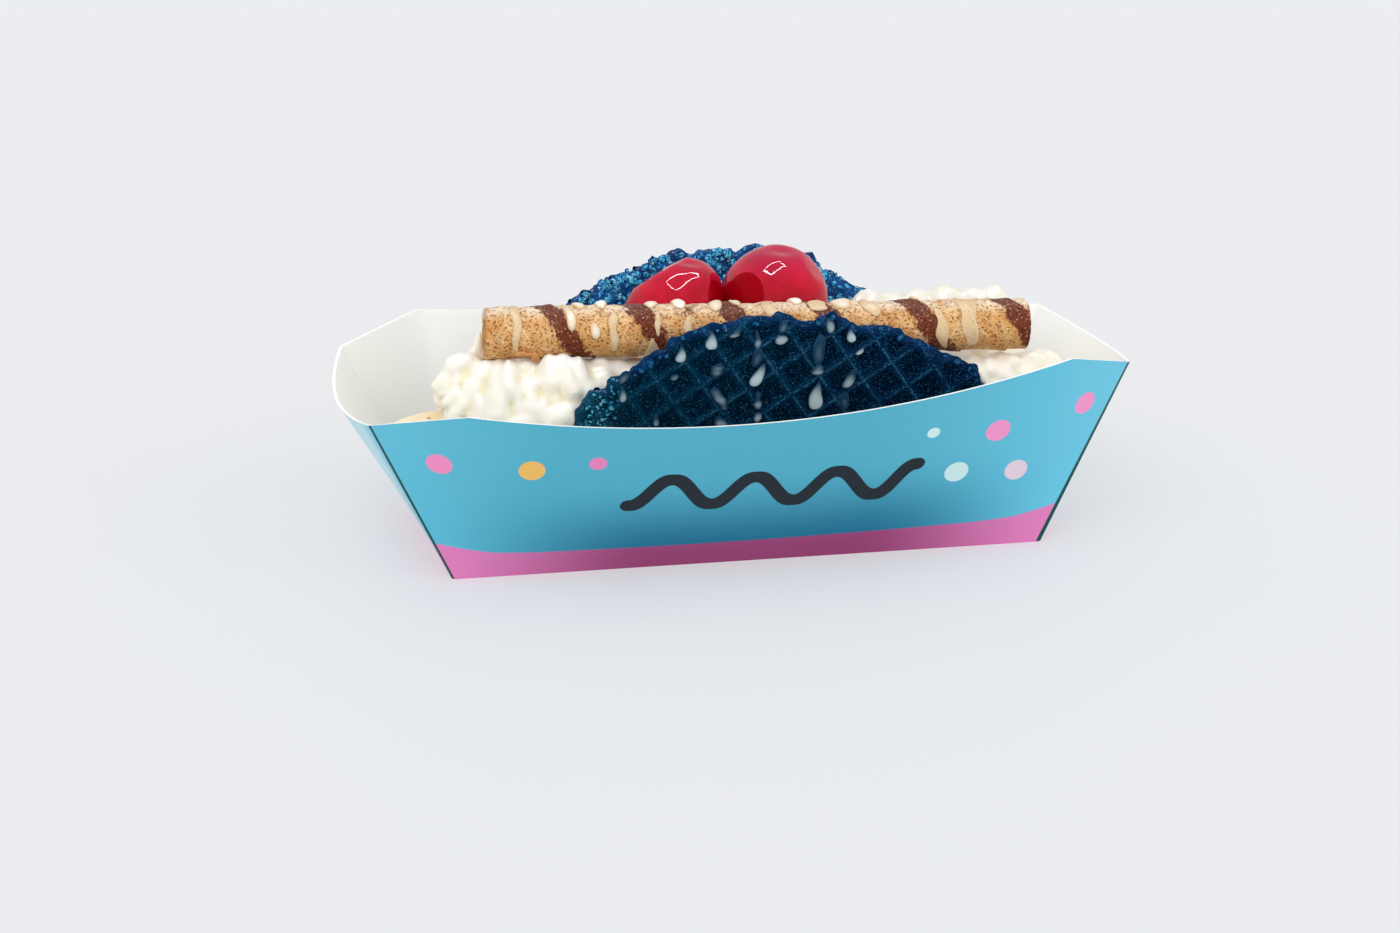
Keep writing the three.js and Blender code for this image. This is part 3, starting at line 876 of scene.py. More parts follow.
def waferPoints(angle, along, radius):
    spoke = np.cos(angle)[..., None] * waferUp + np.sin(angle)[..., None] * waferTowards
    return waferStart + np.asarray(along)[..., None] * waferAxis + np.asarray(radius)[..., None] * spoke


def waferTurn(angle, along):  # whole numbers along the middle of the cocoa band, for arrays and Flow values
    pitch, growth = wafer["pitch"], wafer["pitchGrowth"]
    reach = (along - wafer["firstBand"]) * (4 * growth) + pitch ** 2
    return (reach ** 0.5 - pitch) / (2 * growth) - angle / fullTurn


def waferRadius(angle, along):  # rises up to each seam and drops behind it, with soft lumps
    skin = np.stack([np.cos(angle) * 6, np.sin(angle) * 6, along], -1)
    turn = waferTurn(angle, along) + noiseAt(skin, *wafer["waver"])
    rise = 0
    for seam in wafer["seams"]:
        after, before = (turn - seam) % 1, (seam - turn) % 1
        rise = rise + np.exp(-before / 0.16) * np.minimum(before / 0.012, 1) - 0.45 * np.exp(-after / 0.1)
    lumps = sum(noiseAt(skin, *grade) for grade in wafer["lumps"])
    return wafer["radius"] - 0.1 + wafer["step"] * rise + lumps


def endRings(turn, chips, end, inwards):  # from the middle out: filling, bore wall and wound layers
    bore, recess = wafer["bore"], wafer["recess"]
    rings = [(bore * share, end + inwards * (recess - 0.5 * (1 - share))) for share in (0.02, 0.5, 1)]
    rings.append((bore, end + inwards * recess * 0.5))
    for radius in np.linspace(bore, wafer["radius"] - wafer["edge"], 14):
        groove = np.abs((radius / wafer["layer"] + turn / fullTurn) % 1 - 0.5) * 2
        depth = 0.55 * (1 - np.minimum(groove * 2.2, 1)) + 0.2 + chips * 0.3
        rings.append((radius, end + inwards * depth))
    return rings


def makeWafer():
    rows, columns = wafer["rows"], wafer["columns"]
    turn = around(columns)
    chips = noiseAt(np.stack([np.cos(turn) * 6, np.sin(turn) * 6, turn * 0], -1), *wafer["chips"])
    rings = endRings(turn, chips, 0, 1)
    for step in range(rows + 1):
        along = waferLength * step / rows
        fromEnd = min(along, waferLength - along)
        rounding = wafer["edge"] * (1 - math.sqrt(1 - (1 - min(fromEnd / 0.6, 1)) ** 2))
        place = along + chips * math.exp(-fromEnd / 1.5) * 0.5 + 0.2 * ((step == 0) - (step == rows))
        rings.append((waferRadius(turn, place) - rounding, place))
    rings += endRings(turn, chips, waferLength, -1)[::-1]
    points = np.concatenate([waferPoints(turn, along, radius) for radius, along in rings])
    mesh = newMesh("wafer_roll", points, tubeFaces(len(rings), columns))
    addPiece(closeMesh(mesh), [waferFinish()], "wafer", "wafer_stick")


def waferFinish():
    finish = Finish("rolled_wafer", Specular_IOR_Level=0.15)
    tones = wafer["tones"]
    local = finish.vector("SUBTRACT", finish.place, tuple(waferStart))
    axes = (waferAxis, waferUp, waferTowards)
    length, up, towards = (finish.vector("DOT_PRODUCT", local, tuple(axis), "Value") for axis in axes)
    angle = towards.heading(up)
    radius = (up ** 2 + towards ** 2).root()
    ragged = (finish.noise(5, 2) - 0.5) * 0.14 + (finish.noise(1.3) - 0.5) * 0.18
    turn = waferTurn(angle, length) + ragged
    fromBand = abs((turn + 0.5).fract() - 0.5) * (wafer["pitch"] + 2)
    band = (1 - fromBand.fade(wafer["bandHalf"] - 0.5, wafer["bandHalf"] + 0.5)) * length.fade(7, 9)
    inside = 1 - radius.fade(wafer["bore"] + 0.1, wafer["bore"] + 0.5)
    grain = finish.noise(0.45, 4)
    # thin glaze and painted light: patches of near white along the top of the roll, as the light from above
    # falls there
    glazeAndTopLight = (1 - abs(angle + 0.25).fade(0.5, 1.15)) * finish.noise(3.2).fade(0.28, 0.5)
    wide = finish.spots(0.9, 0.14, 0.4, finish.vector("MULTIPLY", finish.place, (0.8, 1, 1)))
    fine = finish.spots(0.5, 0.16, 0.44)
    pits = (wide * finish.noise(2.6).fade(0.26, 0.42)).most(fine * finish.noise(1.9).fade(0.32, 0.48) * 0.8)
    smudge = length.fade(44.5, 46) * (1 - length.fade(49, 51)) * (1 - abs(angle - 0.35).fade(0.25, 0.6))
    cocoa = finish.over(
        finish.blend(grain.fade(0.42, 0.62), *tones["cocoa"]),
        (finish.spots(1.0, 0.12, 0.3) * 0.7, tones["cocoaSpecks"]),
        (finish.noise(1.0).fade(0.55, 0.7) * 0.6, tones["cocoaPatches"]),
    )
    colour = finish.over(
        finish.blend(finish.noise(4.5).fade(0.35, 0.68), *tones["crust"]),
        (finish.noise(2.1).fade(0.5, 0.7) * 0.5, tones["patches"]),
    )
    for seam in wafer["seams"]:  # toasted before the seam, with a dark line after it
        colour = finish.over(
            colour,
            ((1 - (seam - turn).fract().fade(0.0, 0.10)) * 0.5, tones["toast"]),
            ((1 - (turn - seam).fract().fade(0.0, 0.035)) * 0.45, tones["seam"]),
        )
    colour = finish.over(
        colour,
        (glazeAndTopLight * 0.75, tones["glazeAndTopLight"]),
        (pits * (0.86 - glazeAndTopLight * 0.3), tones["pits"]),
        (band * 0.96, cocoa),
        (smudge * finish.noise(1.2).fade(0.42, 0.55) * 0.8, cocoa),
        (inside, tones["filling"]),
    )
    height = grain * 0.14 - pits * 0.22 + band * finish.noise(0.8) * 0.3
    return finish.surface(colour, 0.66 - band * 0.25, height)


makeWafer()
print("rolled wafer made")


# Icing drips: soft drops that lie on the waffle and on the rolled wafer
icing = {
    "rows": 19,
    "columns": 16,
    "caramelFront": -14.0,
    "tones": {
        # where it is thin, where it is thick, in its pits
        "leaf_icing": (tone(8, 58, 86), tone(180, 200, 206), tone(2, 30, 50)),
        "wafer_icing": (tone(220, 191, 150), tone(253, 246, 234), tone(160, 96, 50)),
        "caramel_drips": (tone(206, 150, 92), tone(176, 112, 56), tone(176, 112, 56)),
    },
    "leaf": [
        # along the fold, up the leaf, width, length, height, form, lean
        (-22.6, 59.9, 2.7, 4.3, 0.8, "drop", 0), (-15.4, 63.1, 3.0, 4.9, 0.85, "drop", 0.1),
        (-23.9, 53.7, 2.4, 1.9, 0.45, "blob", -0.3), (-13.4, 54.9, 3.4, 3.9, 0.4, "streak", -0.3),
        (-12.4, 47.0, 3.2, 6.4, 0.5, "streak", 0.5), (-11.9, 40.9, 3.4, 3.0, 0.5, "drop", 0.2),
        (-4.2, 62.3, 2.1, 5.5, 0.5, "streak", 0.1), (-3.2, 53.0, 3.2, 6.2, 0.85, "drop", -0.35),
        (-3.9, 57.6, 2.8, 5.6, 0.26, "blob", 0), (-2.9, 45.9, 2.4, 5.0, 0.5, "streak", 0.1),
        (-2.6, 41.4, 2.2, 2.8, 0.6, "blob", 0), (1.5, 62.1, 3.4, 2.9, 0.8, "blob", 0),
        (1.7, 65.6, 2.2, 3.4, 0.35, "blob", -0.1), (11.2, 58.6, 3.2, 8.6, 0.26, "blob", 0),
        (11.4, 53.4, 3.6, 3.4, 0.5, "streak", -0.2), (11.5, 46.1, 3.7, 7.6, 0.95, "drop", -0.05),
        (13.3, 65.0, 2.4, 4.0, 0.6, "blob", 0.1), (18.8, 62.0, 2.4, 3.9, 0.85, "drop", 0.1),
        (21.4, 57.9, 1.8, 2.2, 0.7, "drop", -0.5), (19.6, 50.3, 2.9, 5.4, 0.55, "drop", -0.35),
        (18.7, 44.2, 2.6, 5.0, 0.22, "blob", 0), (-36.2, 50.2, 1.9, 4.5, 0.6, "drop", 0.1),
        (-36.1, 54.6, 2.8, 3.8, 0.35, "blob", -0.3), (-27.6, 42.4, 1.8, 3.6, 0.45, "drop", 0.2),
        (-9.5, 64.8, 3.0, 3.2, 0.5, "streak", -0.4),
    ],
    "wafer": [
        # along the roll, degrees from straight up towards the viewer, width, length, height, form, lean
        (7.3, 51.5, 2.5, 16.6, 0.3, "streak", 0), (19.7, 28, 2.4, 10.4, 0.5, "drop", 0.2),
        (25.8, 75, 2.4, 4.3, 0.6, "blob", 0), (30.4, 76, 2.4, 10.8, 0.3, "streak", 0),
        (22.6, -6, 3.0, 5, 0.6, "blob", 0.3), (28.0, -12, 3.0, 7, 1.2, "blob", 0),
        (39.6, 128, 3.6, 7.5, 0.4, "drop", 0), (40.9, 62, 1.7, 6.1, 0.35, "streak", 0.1),
        (39.7, -9, 3.4, 6, 0.7, "blob", 0), (46.4, -6, 3.4, 7, 0.9, "blob", 0.2),
        (48.3, 66, 2.2, 4.5, 0.3, "drop", 0), (74.9, -17, 3.2, 6.5, 0.9, "blob", 0),
        (92.5, 10, 4.4, 9.7, 0.3, "streak", 0.2), (109.8, 84, 3.4, 12, 0.18, "streak", 0.2),
        (116.5, 55, 5.0, 17, 0.12, "streak", 0.1), (104.6, -18, 2.6, 5, 0.6, "blob", 0),
        (60.5, -10, 3.0, 6, 0.65, "blob", 0), (55.5, 4, 3.4, 6.5, 0.55, "blob", -0.2),
        (86, -2, 5.2, 8, 0.6, "blob", 0), (68, 20, 3.4, 7, 0.22, "streak", 0.2),
        (80, 6, 4.5, 7, 0.2, "streak", 0),
    ],
    "caramel": [
        # x, z, width, length, height, form, lean
        (-49.1, 48.7, 2.0, 3.0, 0.8, "drop", 0), (-52.4, 49.5, 3.2, 1.4, 0.6, "blob", 0),
        (-50.4, 49.2, 2.6, 1.0, 0.6, "blob", 0),
    ],
}


def dropShape(width, length, height, form, lean):  # side, down, out and thickness of a soft drop
    step = np.linspace(0, 1, icing["rows"])[:, None]
    middle = 2 * step - 1
    body = (1 - middle ** 2) ** 0.5
    if form == "drop":  # fuller towards its lower end
        body = body * (0.4 + 0.75 * step ** 1.2)
    elif form == "streak":
        wobble = 0.2 * np.sin(6 * step + 3 * length) + 0.12 * np.sin(14 * step + length)
        body = body * (0.75 + 0.25 * step + wobble)
    body = np.maximum(body / body.max(), 0.03)
    turn = around(icing["columns"])
    down = middle * length / 2 + turn * 0
    full = min(height / 0.9, 1)
    thickness = (0.25 + 0.75 * full) * (body * np.maximum(np.sin(turn), 0)) ** (1.3 - 0.8 * full)
    side = body * np.cos(turn) * width / 2 + lean * down
    return side, down, body * np.maximum(np.sin(turn), -0.35) * height, thickness * (0.62 + 0.38 * step)


def onLeaf(along, up, side, down, out):
    sway = 0.15 * np.sin(down * 1.1 + along)
    ground = shell["sunk"] * (1 - np.exp(-(gridDistance(along + side, down - up) / 1.6) ** 2)) * 0.7
    return fold(along + side + sway, down - up, ground - out - 0.42)


def onWafer(along, degrees, side, down, out):
    angle = math.radians(degrees) + down / wafer["radius"]
    place = along + side + 0.3 * np.sin(down * 0.7 + along)
    return waferPoints(angle, place, waferRadius(angle, place) + 0.12 + out)


def underWafer(x, z, side, down, out):
    return np.stack([x + side, icing["caramelFront"] - out, z - down], -1)


def addIcing(name, drops, ground, slot):
    faces = tubeFaces(icing["rows"], icing["columns"])
    parts, thickness = [], []
    for first, second, *sizes in drops:
        side, down, out, thick = dropShape(*sizes)
        parts.append((ground(first, second, side, down, out).reshape(-1, 3), faces))
        thickness.append(thick.ravel())
    mesh = newMesh(name, *joined(parts), thick=[np.concatenate(thickness)])
    addPiece(closeMesh(mesh), [icingFinish(name, *icing["tones"][name])], slot)


def makeIcing():
    addIcing("leaf_icing", icing["leaf"], onLeaf, "waffle")
    addIcing("wafer_icing", icing["wafer"], onWafer, "wafer")
    addIcing("caramel_drips", icing["caramel"], underWafer, "wafer")


def icingFinish(name, thin, full, pit):
    finish = Finish(name, Specular_IOR_Level=0.2, Coat_Roughness=0.1)
    thick = finish.layer("thick")[0]
    cloud = finish.noise(1.4)
    pits = finish.spots(0.6, 0.14, 0.36) * (1 - thick.fade(0.2, 0.5))
    colour = finish.over(thin, (thick.fade(0.25, 0.85), full), (pits * 0.5, pit))
    coat = thick.fade(0.35, 0.9) * 0.5
    return finish.surface(colour, 0.34 + cloud * 0.1, cloud * 0.12, Coat_Weight=coat)


makeIcing()
print("icing made")


# Cherries: candied, glossy, one with a sloping side
cherries = {
    # folds: x, y, z, length, width, height. flats: direction, level, strength
    "cherry_left": {
        "centre": (-11.0, 7.5, 54.5), "radius": 11.7, "slope": 0.0, "tail": 0.10, "shear": 0.16,
        "flats": [
            ((-0.5, 0.34, 0.79), 0.79, 0.8), ((-0.086, -0.634, 0.769), 0.93, 0.5),
            ((0.75, -0.4, 0.5), 0.94, 0.8),
        ],
        "folds": [(-0.62, -0.5, 0.5, 1.0, 0.12, -0.02)],
    },
    "cherry_right": {
        "centre": (13.5, 7.9, 54.6), "radius": 13.6, "slope": 0.03, "tail": 0.0, "shear": 0.0,
        "flats": [((0.7, -0.3, 0.64), 0.95, 0.8)],
        "folds": [(0.62, -0.45, 0.6, 0.4, 0.14, -0.03), (0.45, -0.3, 0.85, 0.5, 0.16, 0.02)],
    },
    "shade": {"centre": (2.0, -1.6, 58.1), "fade": (6.7, 7.1)},  # where the right one shows its neighbour
    "rows": 90,
    "columns": 132,
    "lumps": (0.45, 0.012),
    "tones": {
        "flesh": (tone(172, 0, 32), tone(204, 6, 46)), "top": tone(188, 30, 76),
        "veins": tone(224, 50, 84), "shade": tone(146, 0, 10),
    },
}


def cherryPoints(cherry):
    tilt = np.linspace(0.02, math.pi - 0.02, cherries["rows"])[:, None]
    turn = around(cherries["columns"])
    p, q, r = np.sin(tilt) * np.cos(turn), np.sin(tilt) * np.sin(turn), np.cos(tilt) + turn * 0
    dent = 0.10 * np.exp(-14 * ((p - 0.1) ** 2 + (q + 0.15) ** 2)) * np.clip(r * 4, 0, 1)
    size = 1 - dent + 0.02 * np.sin(3 * p + 1) * np.cos(2.6 * q)
    size += 2 * cherry["slope"] * np.minimum(p, 0) * np.maximum(r, 0)
    size += cherry["tail"] * np.exp(-((p + 0.95) ** 2 + (r + 0.1) ** 2 + q ** 2) / 0.12)
    for x, y, z, length, width, height in cherry["folds"]:
        across, beside = (p - x) * 0.5 + (r - z) * 0.86, (p - x) * 0.86 - (r - z) * 0.5
        size += height * np.exp(-(across / width) ** 2 - (beside / length) ** 2 - ((q - y) / 0.6) ** 2)
    size += noiseAt(np.stack([p, q, r], -1), *cherries["lumps"], cherry["radius"])
    for direction, level, strength in cherry["flats"]:  # softly flattened sides
        x, y, z = np.array(direction) / np.linalg.norm(direction)
        height = p * x + q * y + r * z
        size -= np.maximum(height - level, 0) / np.maximum(height, 0.3) * strength
    x, y, z = (axis * size * cherry["radius"] for axis in (p, q, r))
    points = np.stack([x + np.maximum(z, 0) * cherry["shear"], y, z * 0.95], -1)
    return points.reshape(-1, 3) + cherry["centre"]


def makeCherries():
    finish = cherryFinish()
    faces = tubeFaces(cherries["rows"], cherries["columns"])
    for name in ("cherry_left", "cherry_right"):
        mesh = newMesh(name + "_flesh", cherryPoints(cherries[name]), faces)
        addPiece(closeMesh(mesh), [finish], "cherry", name)


def cherryFinish():
    gloss = {"Coat_Roughness": 0.02, "Coat_IOR": 1.38, "Specular_IOR_Level": 0.0}
    finish = Finish("candied_cherry", **gloss)
    tones = cherries["tones"]
    cloud = finish.noise(7)
    veins = finish.noise(1.2, 4)
    place = finish.parts(finish.place)
    shade = cherries["shade"]
    x, y, z = (value - middle for value, middle in zip(place, shade["centre"]))
    shaded = 1 - (x ** 2 + y ** 2 + z ** 2).root().fade(*shade["fade"])
    colour = finish.over(
        finish.blend(cloud.fade(0.3, 0.7), *tones["flesh"]),
        # painted sheen: the tops of the cherries turn pinker
        (place[2].fade(60, 68) * 0.6, tones["top"]),
        (veins.fade(0.6, 0.8) * 0.2, tones["veins"]),
        (shaded * 0.9, tones["shade"]),
    )
    height = cloud * 0.3 + veins * 0.02
    return finish.surface(colour, 0.3 + veins * 0.08, height, Coat_Weight=0.8 - shaded * 0.65)


makeCherries()
print("cherries made")


# Banana half: its tip shows at the left, the rest lies under the cream
banana = {
    "spine": [
        # x, y, z, radius
        (-86, -5, 27.4, 1.2), (-84.4, -5, 27.2, 3.0), (-80, -4.6, 26.9, 5.2), (-74, -3.9, 25.8, 7.4),
        (-66, -3, 23.6, 9.1), (-57, -2, 20.6, 10.2), (-47, -1, 18.4, 11), (-36, -0.4, 17.6, 11.2),
    ],
    "tip": -86.8,
    "lumps": (5, 0.25, 11),
    "tones": {
        "flesh": (tone(252, 236, 204), tone(246, 220, 176)), "strings": tone(232, 200, 146),
        "spots": tone(146, 92, 44),
    },
    "rows": 70,
    "columns": 72,
}


def makeBanana():
    spine = np.array(banana["spine"])
    x = between(spine[0, 0], spine[-1, 0], np.linspace(0, 1, banana["rows"]) ** 1.3)
    y, z, radius = (np.interp(x, spine[:, 0], spine[:, column]) for column in (1, 2, 3))
    kernel = np.array([1, 2, 3, 2, 1]) / 9
    for values in (y, z, radius):
        values[2:-2] = np.convolve(values, kernel, "valid")
    turn = around(banana["columns"])
    facets = 1 + 0.03 * np.cos(5 * turn)

    def ring(x, y, z, size):
        return np.stack([x + turn * 0, y + size * np.cos(turn), z + size * np.sin(turn)], -1)

    rings = [ring(banana["tip"], y[0], z[0], 0.2)]
    rings += [ring(*centre, size * facets) for *centre, size in zip(x, y, z, radius)]
    points = np.concatenate(rings)
    points[:, 2] += noiseAt(points, *banana["lumps"])
    mesh = newMesh("banana_half", points, tubeFaces(len(rings), banana["columns"]))
    addPiece(closeMesh(mesh), [bananaFinish()], "banana", "banana")


def bananaFinish():
    soft = {"Subsurface_Weight": 0.12, "Subsurface_Scale": 0.002, "Subsurface_Radius": (1.0, 0.7, 0.4)}
    finish = Finish("peeled_banana", **soft)
    strings = finish.noise(1.3, 4, finish.vector("MULTIPLY", finish.place, (0.12, 1, 1)))
    cloud = finish.noise(6)
    spots = finish.spots(6.5, 0.08, 0.14) * cloud.fade(0.45, 0.6)
    tones = banana["tones"]
    colour = finish.over(
        finish.blend(cloud.fade(0.35, 0.7), *tones["flesh"]),
        (strings.fade(0.55, 0.75) * 0.35, tones["strings"]),
        (spots * 0.85, tones["spots"]),
    )
    return finish.surface(colour, 0.48, strings * 0.2 + cloud * 0.1)


makeBanana()
print("banana made")


# Whipped cream: a long core with ridged dollops from a star nozzle, run together
cream = {
    "voxel": 0.62,
    "softening": 6,
    "hollowRounds": 14,
    "coreSteps": (48, 96),
    "dollopSteps": (56, 128),
    "foldSteps": (24, 32),
    "below": 0.85,  # heights of a dollop under and over its widest place
    "above": 1.1,
    "small": 6,  # radius up to which a dollop counts as small
    "fewRidges": 5,
    "coilDepth": 0.10,
    "lean": 0.10,
    "swell": (6.5, 0.6, 2),
    "wrinkles": (4.2, 0.9, 4),
    "lumps": (2.3, 0.2, 9),
    "tones": {
        "cream": (tone(247, 244, 235), tone(244, 239, 224)), "hollow": tone(236, 226, 186),
        "glow": tone(255, 250, 240),
    },
    "coreCentre": (8, 1, 26),
    "coreHalf": (62, 24, 19),
    "ridges": 8,
    "ridge": 0.18,
    "twist": 1.1,
    "coils": 1.3,
    "dollops": [
        # x, y, z, radius, height, turn
        (-57, -4, 35, 13, 13, 0.2), (-65, -3, 38, 7.2, 6, 0.9), (-63, 3, 34, 8, 9, 0.1),
        (-49, -11, 33, 11, 14, 0.5), (-48, 8, 35, 13, 14, 0.1), (-38, -13, 32, 9, 14, 0.7),
        (-33, 8, 37, 13, 13, 0.4), (-25, -10, 35, 10, 11, 0.3), (-6, -6, 36, 12, 10, 0.8),
        (-20, 13, 39, 12, 9, 0.6), (7, 17, 37, 15, 12, 0.5), (15, -8, 36, 12, 9, 0.1),
        (31, 12, 38, 12, 14, 0.6), (36, -9, 34, 11, 11, 0.2), (45, 14, 39, 13, 13.5, 0.3),
        (54, -8, 32, 12, 11, 0.9), (58, 1, 38, 11, 9, 0.4),
        (60, 14, 38, 13, 14.5, 0.1), (68, -4, 30, 12, 10, 0.5), (69.5, 11, 36, 9.6, 12, 0.7),
        (38, 11, 51, 4, 3.6, 0.1), (44, 12, 50.5, 4.4, 3, 0.7), (51, 13, 50.8, 4, 3, 0.2),
        (58, 12, 51.1, 4.6, 3.6, 0.5), (64.5, 12, 50.9, 4.4, 3, 0.9), (70, 11, 51, 4.2, 3.4, 0.3),
        (72.6, 10.5, 50.4, 2.8, 2.6, 0.6),
        (58, -14, 38, 5, 5, 0.4), (65, -13.5, 38.5, 5, 5.2, 0.1), (71.5, -12, 38.5, 4.6, 5, 0.8),
        (77, -9, 38, 4.4, 4.6, 0.3), (80.5, -4, 37, 3.6, 4, 0.5),
        (61.5, -16, 40.6, 2.6, 2.6, 0.2), (67.5, -15.4, 41.6, 2.2, 2.2, 0.6),
        (73.4, -13.6, 41.4, 2.4, 2.2, 0.4), (78.4, -10.4, 40.8, 2.0, 2.0, 0.1),
        (57, -17, 39.4, 2.2, 2.4, 0.7), (70.6, -15.4, 38.6, 2.4, 2.2, 0.9),
    ],
    "folds": [
        # from x, y, z and radius to x, y, z and radius
        ((-64, -8, 45), 3.4, (-70.5, -8.5, 40.5), 2.6), ((-70.5, -8.5, 41), 1.8, (-73.6, -9.5, 41.6), 0.5),
        ((-62.5, -11, 43), 3.4, (-67, -11, 34), 3.8), ((-61.4, -6, 45), 2.6, (-62, -6.5, 49.4), 1.5),
        ((-61.9, -6.5, 48.6), 1.8, (-61.5, -6.5, 52.9), 1.0),
        ((-62.3, -7, 50.2), 1.1, (-63.2, -7, 50.7), 0.6),
        ((-65.2, -8.5, 47), 2.8, (-68, -8.8, 46), 2.3), ((-69.2, -8.6, 43.4), 2.3, (-71.6, -9, 41.6), 1.4),
        ((-55.4, -14.1, 46.4), 2.0, (-56, -16.8, 42), 3.4),
        ((-45.6, -14.3, 46.9), 2.2, (-46, -16.6, 43), 3.0),
        ((-42.4, -14.5, 46.9), 2.4, (-42.4, -16.8, 43), 3.4),
        ((-39.2, -14.7, 46.6), 2.0, (-38.6, -16.4, 43), 3.0),
        ((-61, -10.5, 44.4), 3.7, (-30, -11, 43.2), 3.9),
        ((-68, -12, 40), 1.8, (-70.6, -13, 38.4), 1.2), ((-65.5, -13, 38.5), 2.2, (-68.6, -14, 35), 1.8),
        ((-62.6, -15, 38), 2.0, (-63.8, -16.5, 34), 2.4), ((-66, -9, 46.2), 1.6, (-69, -9, 44), 1.2),
        ((-47.6, -16.5, 43), 1.8, (-45.4, -17.5, 41), 1.4),
        ((-53.6, -17.6, 42), 1.6, (-54.4, -18.8, 37), 1.8),
        ((-57, -12, 45.2), 3.2, (-58.5, -17.5, 36), 4.0), ((-51.5, -12, 45.2), 3.0, (-50.5, -18, 37), 3.8),
        ((-46.8, -12, 45), 2.2, (-46.4, -17, 40), 2.6), ((-43.6, -12, 45.2), 2.8, (-41.5, -18, 41.5), 3.2),
        ((-38.6, -12, 45), 3.0, (-36.6, -17, 40), 3.4), ((-33.5, -12, 44.6), 2.6, (-32, -15, 40.5), 3.0),
        ((-56, -17, 34), 4.2, (-51, -18, 33), 4.2), ((-47, -19, 34), 4.0, (-43, -19, 35.5), 3.8),
        ((-41, -18, 35), 4.0, (-37, -16, 33), 4.0), ((-29, -12, 44), 2.4, (-26, -14, 42), 2.6),
    ],
}


def dollopPart(x, y, z, radius, height, turn):  # widest at z, with twisted ridges and a coiled groove
    rows, columns = cream["dollopSteps"]
    below, above = cream["below"], cream["above"]
    lower = -below * np.cos(np.linspace(0.03, math.pi / 2, 18))[:-1]
    level = -0.1 + np.append(lower, above * np.sin(np.linspace(0, math.pi / 2 - 0.02, rows - len(lower))))
    lower = np.sqrt(np.maximum(1 - (np.minimum(level + 0.1, 0) / below) ** 2, 0))
    upper = np.maximum(1 - (np.maximum(level + 0.1, 0) / above) ** 2, 0) ** 0.55
    body, level = (lower * upper)[:, None], level[:, None]
    angle = around(columns)
    phase = angle + turn + level * cream["twist"]
    large = radius > cream["small"]
    count = cream["ridges"] if large else cream["fewRidges"]
    ridge = 1 + cream["ridge"] * (np.abs(np.cos(phase * count / 2)) ** 0.75 - 0.6) * np.minimum(body * 2, 1)
    coil = (level * cream["coils"] - angle / fullTurn + turn) % 1
    ridge = ridge - cream["coilDepth"] * np.exp(-((coil - 0.5) / 0.14) ** 2) * large
    lean = cream["lean"] * radius * np.maximum(level, 0) ** 2
    size = body * radius * ridge
    points = [x + lean + size * np.cos(angle), y + size * np.sin(angle), z + level * height + angle * 0]
    return np.stack(points, -1).reshape(-1, 3), tubeFaces(rows, columns)


def foldPart(first, firstRadius, last, lastRadius):  # a soft finger of cream
    rows, columns = cream["foldSteps"]
    first, last = np.array(first, float), np.array(last, float)
    length = np.linalg.norm(last - first)
    axis = (last - first) / length
    side = np.cross(axis, (0.3, 1, 0.1))
    side /= np.linalg.norm(side)
    tilt = np.linspace(0.05, math.pi - 0.05, rows)[:, None]
    turn = around(columns)
    share = (1 - np.cos(tilt)) / 2
    radius = firstRadius + (lastRadius - firstRadius) * share
    size = radius * np.sin(tilt) ** 0.7 * (1 + 0.08 * np.cos(3 * turn + 4 * share))
    points = first + (length * share - radius * np.cos(tilt))[..., None] * axis
    points = points + (size * np.cos(turn))[..., None] * side
    points = points + (size * np.sin(turn))[..., None] * np.cross(axis, side)
    return points.reshape(-1, 3), tubeFaces(rows, columns)


def corePart():
    rows, columns = cream["coreSteps"]
    tilt = np.linspace(0.03, math.pi - 0.03, rows)[:, None]
    turn = around(columns)
    unit = np.stack([np.cos(tilt) + turn * 0, np.sin(tilt) * np.cos(turn), np.sin(tilt) * np.sin(turn)], -1)
    return (unit * cream["coreHalf"] + cream["coreCentre"]).reshape(-1, 3), tubeFaces(rows, columns)


def fused(name, draftMesh):  # one even skin round overlapping closed shapes
    draft = bpy.data.objects.new(name, draftMesh)
    bpy.context.collection.objects.link(draft)
    remesh = draft.modifiers.new("fuse", "REMESH")
    remesh.mode = "VOXEL"
    remesh.voxel_size = cream["voxel"] * mm
    soften = draft.modifiers.new("soften", "SMOOTH")
    soften.factor = 0.5
    soften.iterations = cream["softening"]
    mesh = bpy.data.meshes.new_from_object(draft.evaluated_get(bpy.context.evaluated_depsgraph_get()))
    bpy.data.objects.remove(draft)
    bpy.data.meshes.remove(draftMesh)
    mesh.name = name
    return mesh


def hollowness(points, normals, edges, rounds):  # above 0 in valleys, below 0 on crests
    first, second = edges.T
    weight = np.bincount(edges.ravel(), minlength=len(points))
    smooth = points.copy()
    for _ in range(rounds):
        for axis in range(3):
            total = np.bincount(first, smooth[second, axis], len(points))
            total += np.bincount(second, smooth[first, axis], len(points))
            smooth[:, axis] = total / np.maximum(weight, 1)
    return ((smooth - points) * normals).sum(1)


def readArray(items, name, width, kind=float):
    values = np.zeros(len(items) * width, kind)
    items.foreach_get(name, values)
    return values.reshape(-1, width)


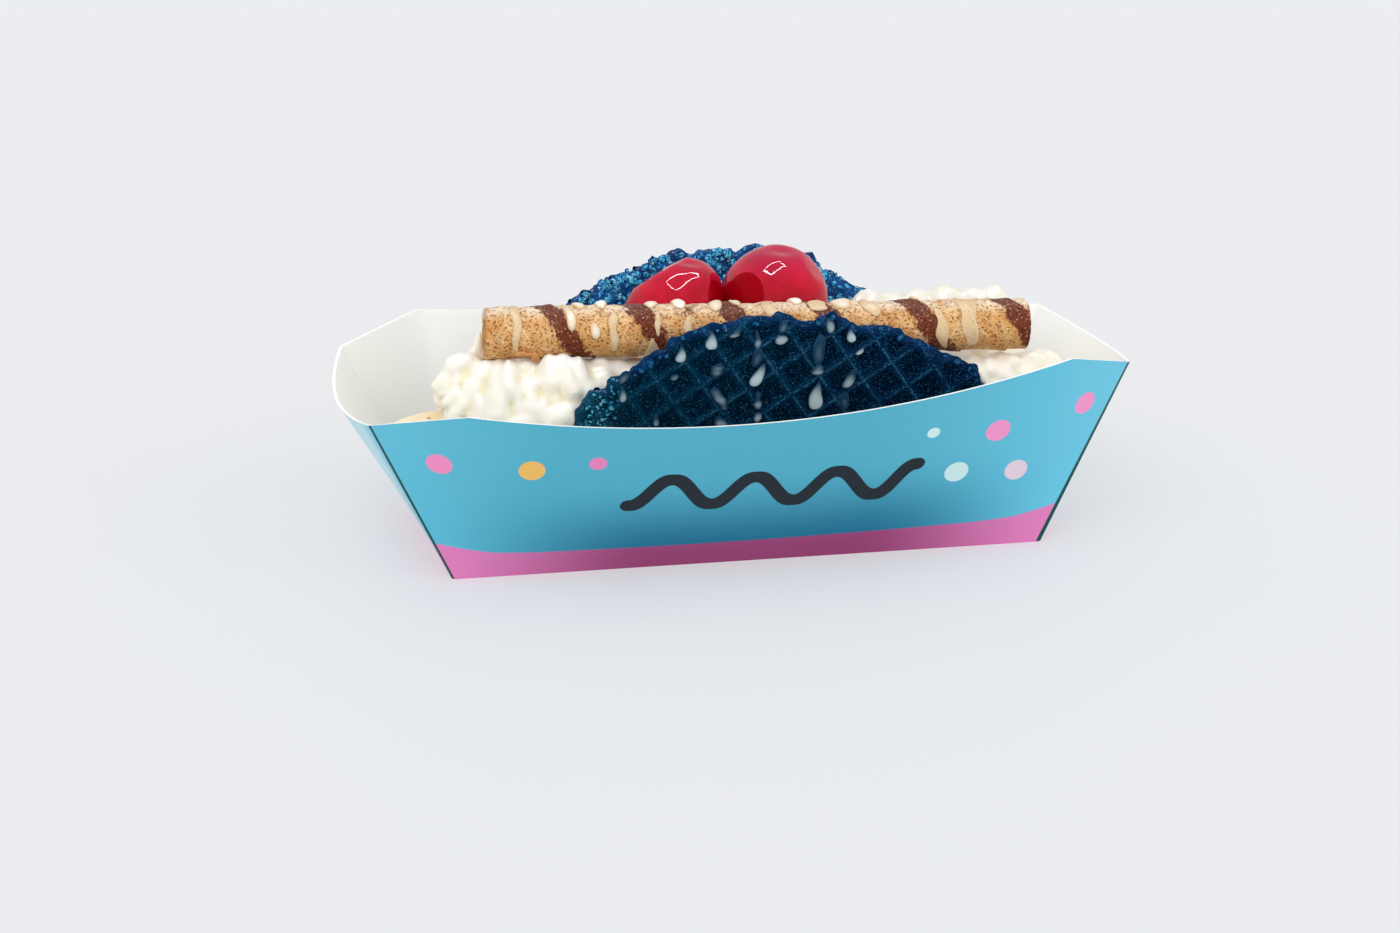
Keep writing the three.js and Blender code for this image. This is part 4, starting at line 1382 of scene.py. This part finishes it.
def makeCream():
    parts = [corePart()] + [dollopPart(*dollop) for dollop in cream["dollops"]]
    parts += [foldPart(*finger) for finger in cream["folds"]]
    mesh = fused("whipped_swirls", closeMesh(newMesh("cream_draft", *joined(parts))))
    points, normals = readArray(mesh.vertices, "co", 3) / mm, readArray(mesh.vertices, "normal", 3)
    wrinkles = np.abs(noiseAt(points * (1, 1, 0.5), *cream["wrinkles"]))
    swell = noiseAt(points, *cream["swell"]) + 0.2 - wrinkles + noiseAt(points, *cream["lumps"])
    points = points + normals * swell[:, None]
    along, across, inwards = unfold(points)
    within = np.clip(insideRim(along, across) / 1.5 + 0.6, 0, 1)
    limit = shell["thickness"] - 0.25  # the cream inside the shell stays within its inner face
    pushed = fold(along, across, np.maximum(inwards, limit))
    points = points + (pushed - points) * (within * (inwards < limit))[:, None]
    mesh.vertices.foreach_set("co", (points * mm).ravel())
    mesh.update()
    normals, edges = readArray(mesh.vertices, "normal", 3), readArray(mesh.edges, "vertices", 2, np.int32)
    addLayer(mesh, "hollow", [hollowness(points, normals, edges, cream["hollowRounds"])])
    mesh.shade_smooth()
    addPiece(mesh, [creamFinish()], "cream", "whipped_cream")
    print("cream has", len(mesh.polygons), "faces")


def creamFinish():
    soft = {"Subsurface_Weight": 0.15, "Subsurface_Scale": 0.002, "Subsurface_Radius": (1.0, 0.85, 0.6)}
    gloss = {"Coat_Weight": 0.5, "Coat_Roughness": 0.15, "Specular_IOR_Level": 0.3}
    finish = Finish("whipped_cream", Emission_Strength=0.12, **soft, **gloss)
    x, y, z = finish.parts(finish.place)
    # painted light: the cream under the wafer glows a little, lifting the shade that falls there
    shaded = x.fade(38, 54) * (0 - y).fade(2, 8) * (1 - z.fade(44, 48))  # the part under the wafer
    tones = cream["tones"]
    grain = finish.noise(0.7, 4)
    colour = finish.over(
        finish.blend(finish.noise(9).fade(0.35, 0.7), *tones["cream"]),
        # painted shade: the valleys between the ridges turn yellower and darker
        (finish.layer("hollow")[0].fade(-0.05, 0.45) * 0.8, tones["hollow"]),
    )
    height = grain * 0.07 + finish.cells(1.5).fade(0.0, 0.3) * 0.05 + finish.noise(2.2) * 0.16
    glow = finish.blend(shaded, (0, 0, 0, 1), tones["glow"])
    return finish.surface(colour, 0.36 + grain * 0.12, height, Emission_Color=glow)


makeCream()
print("whipped cream made")
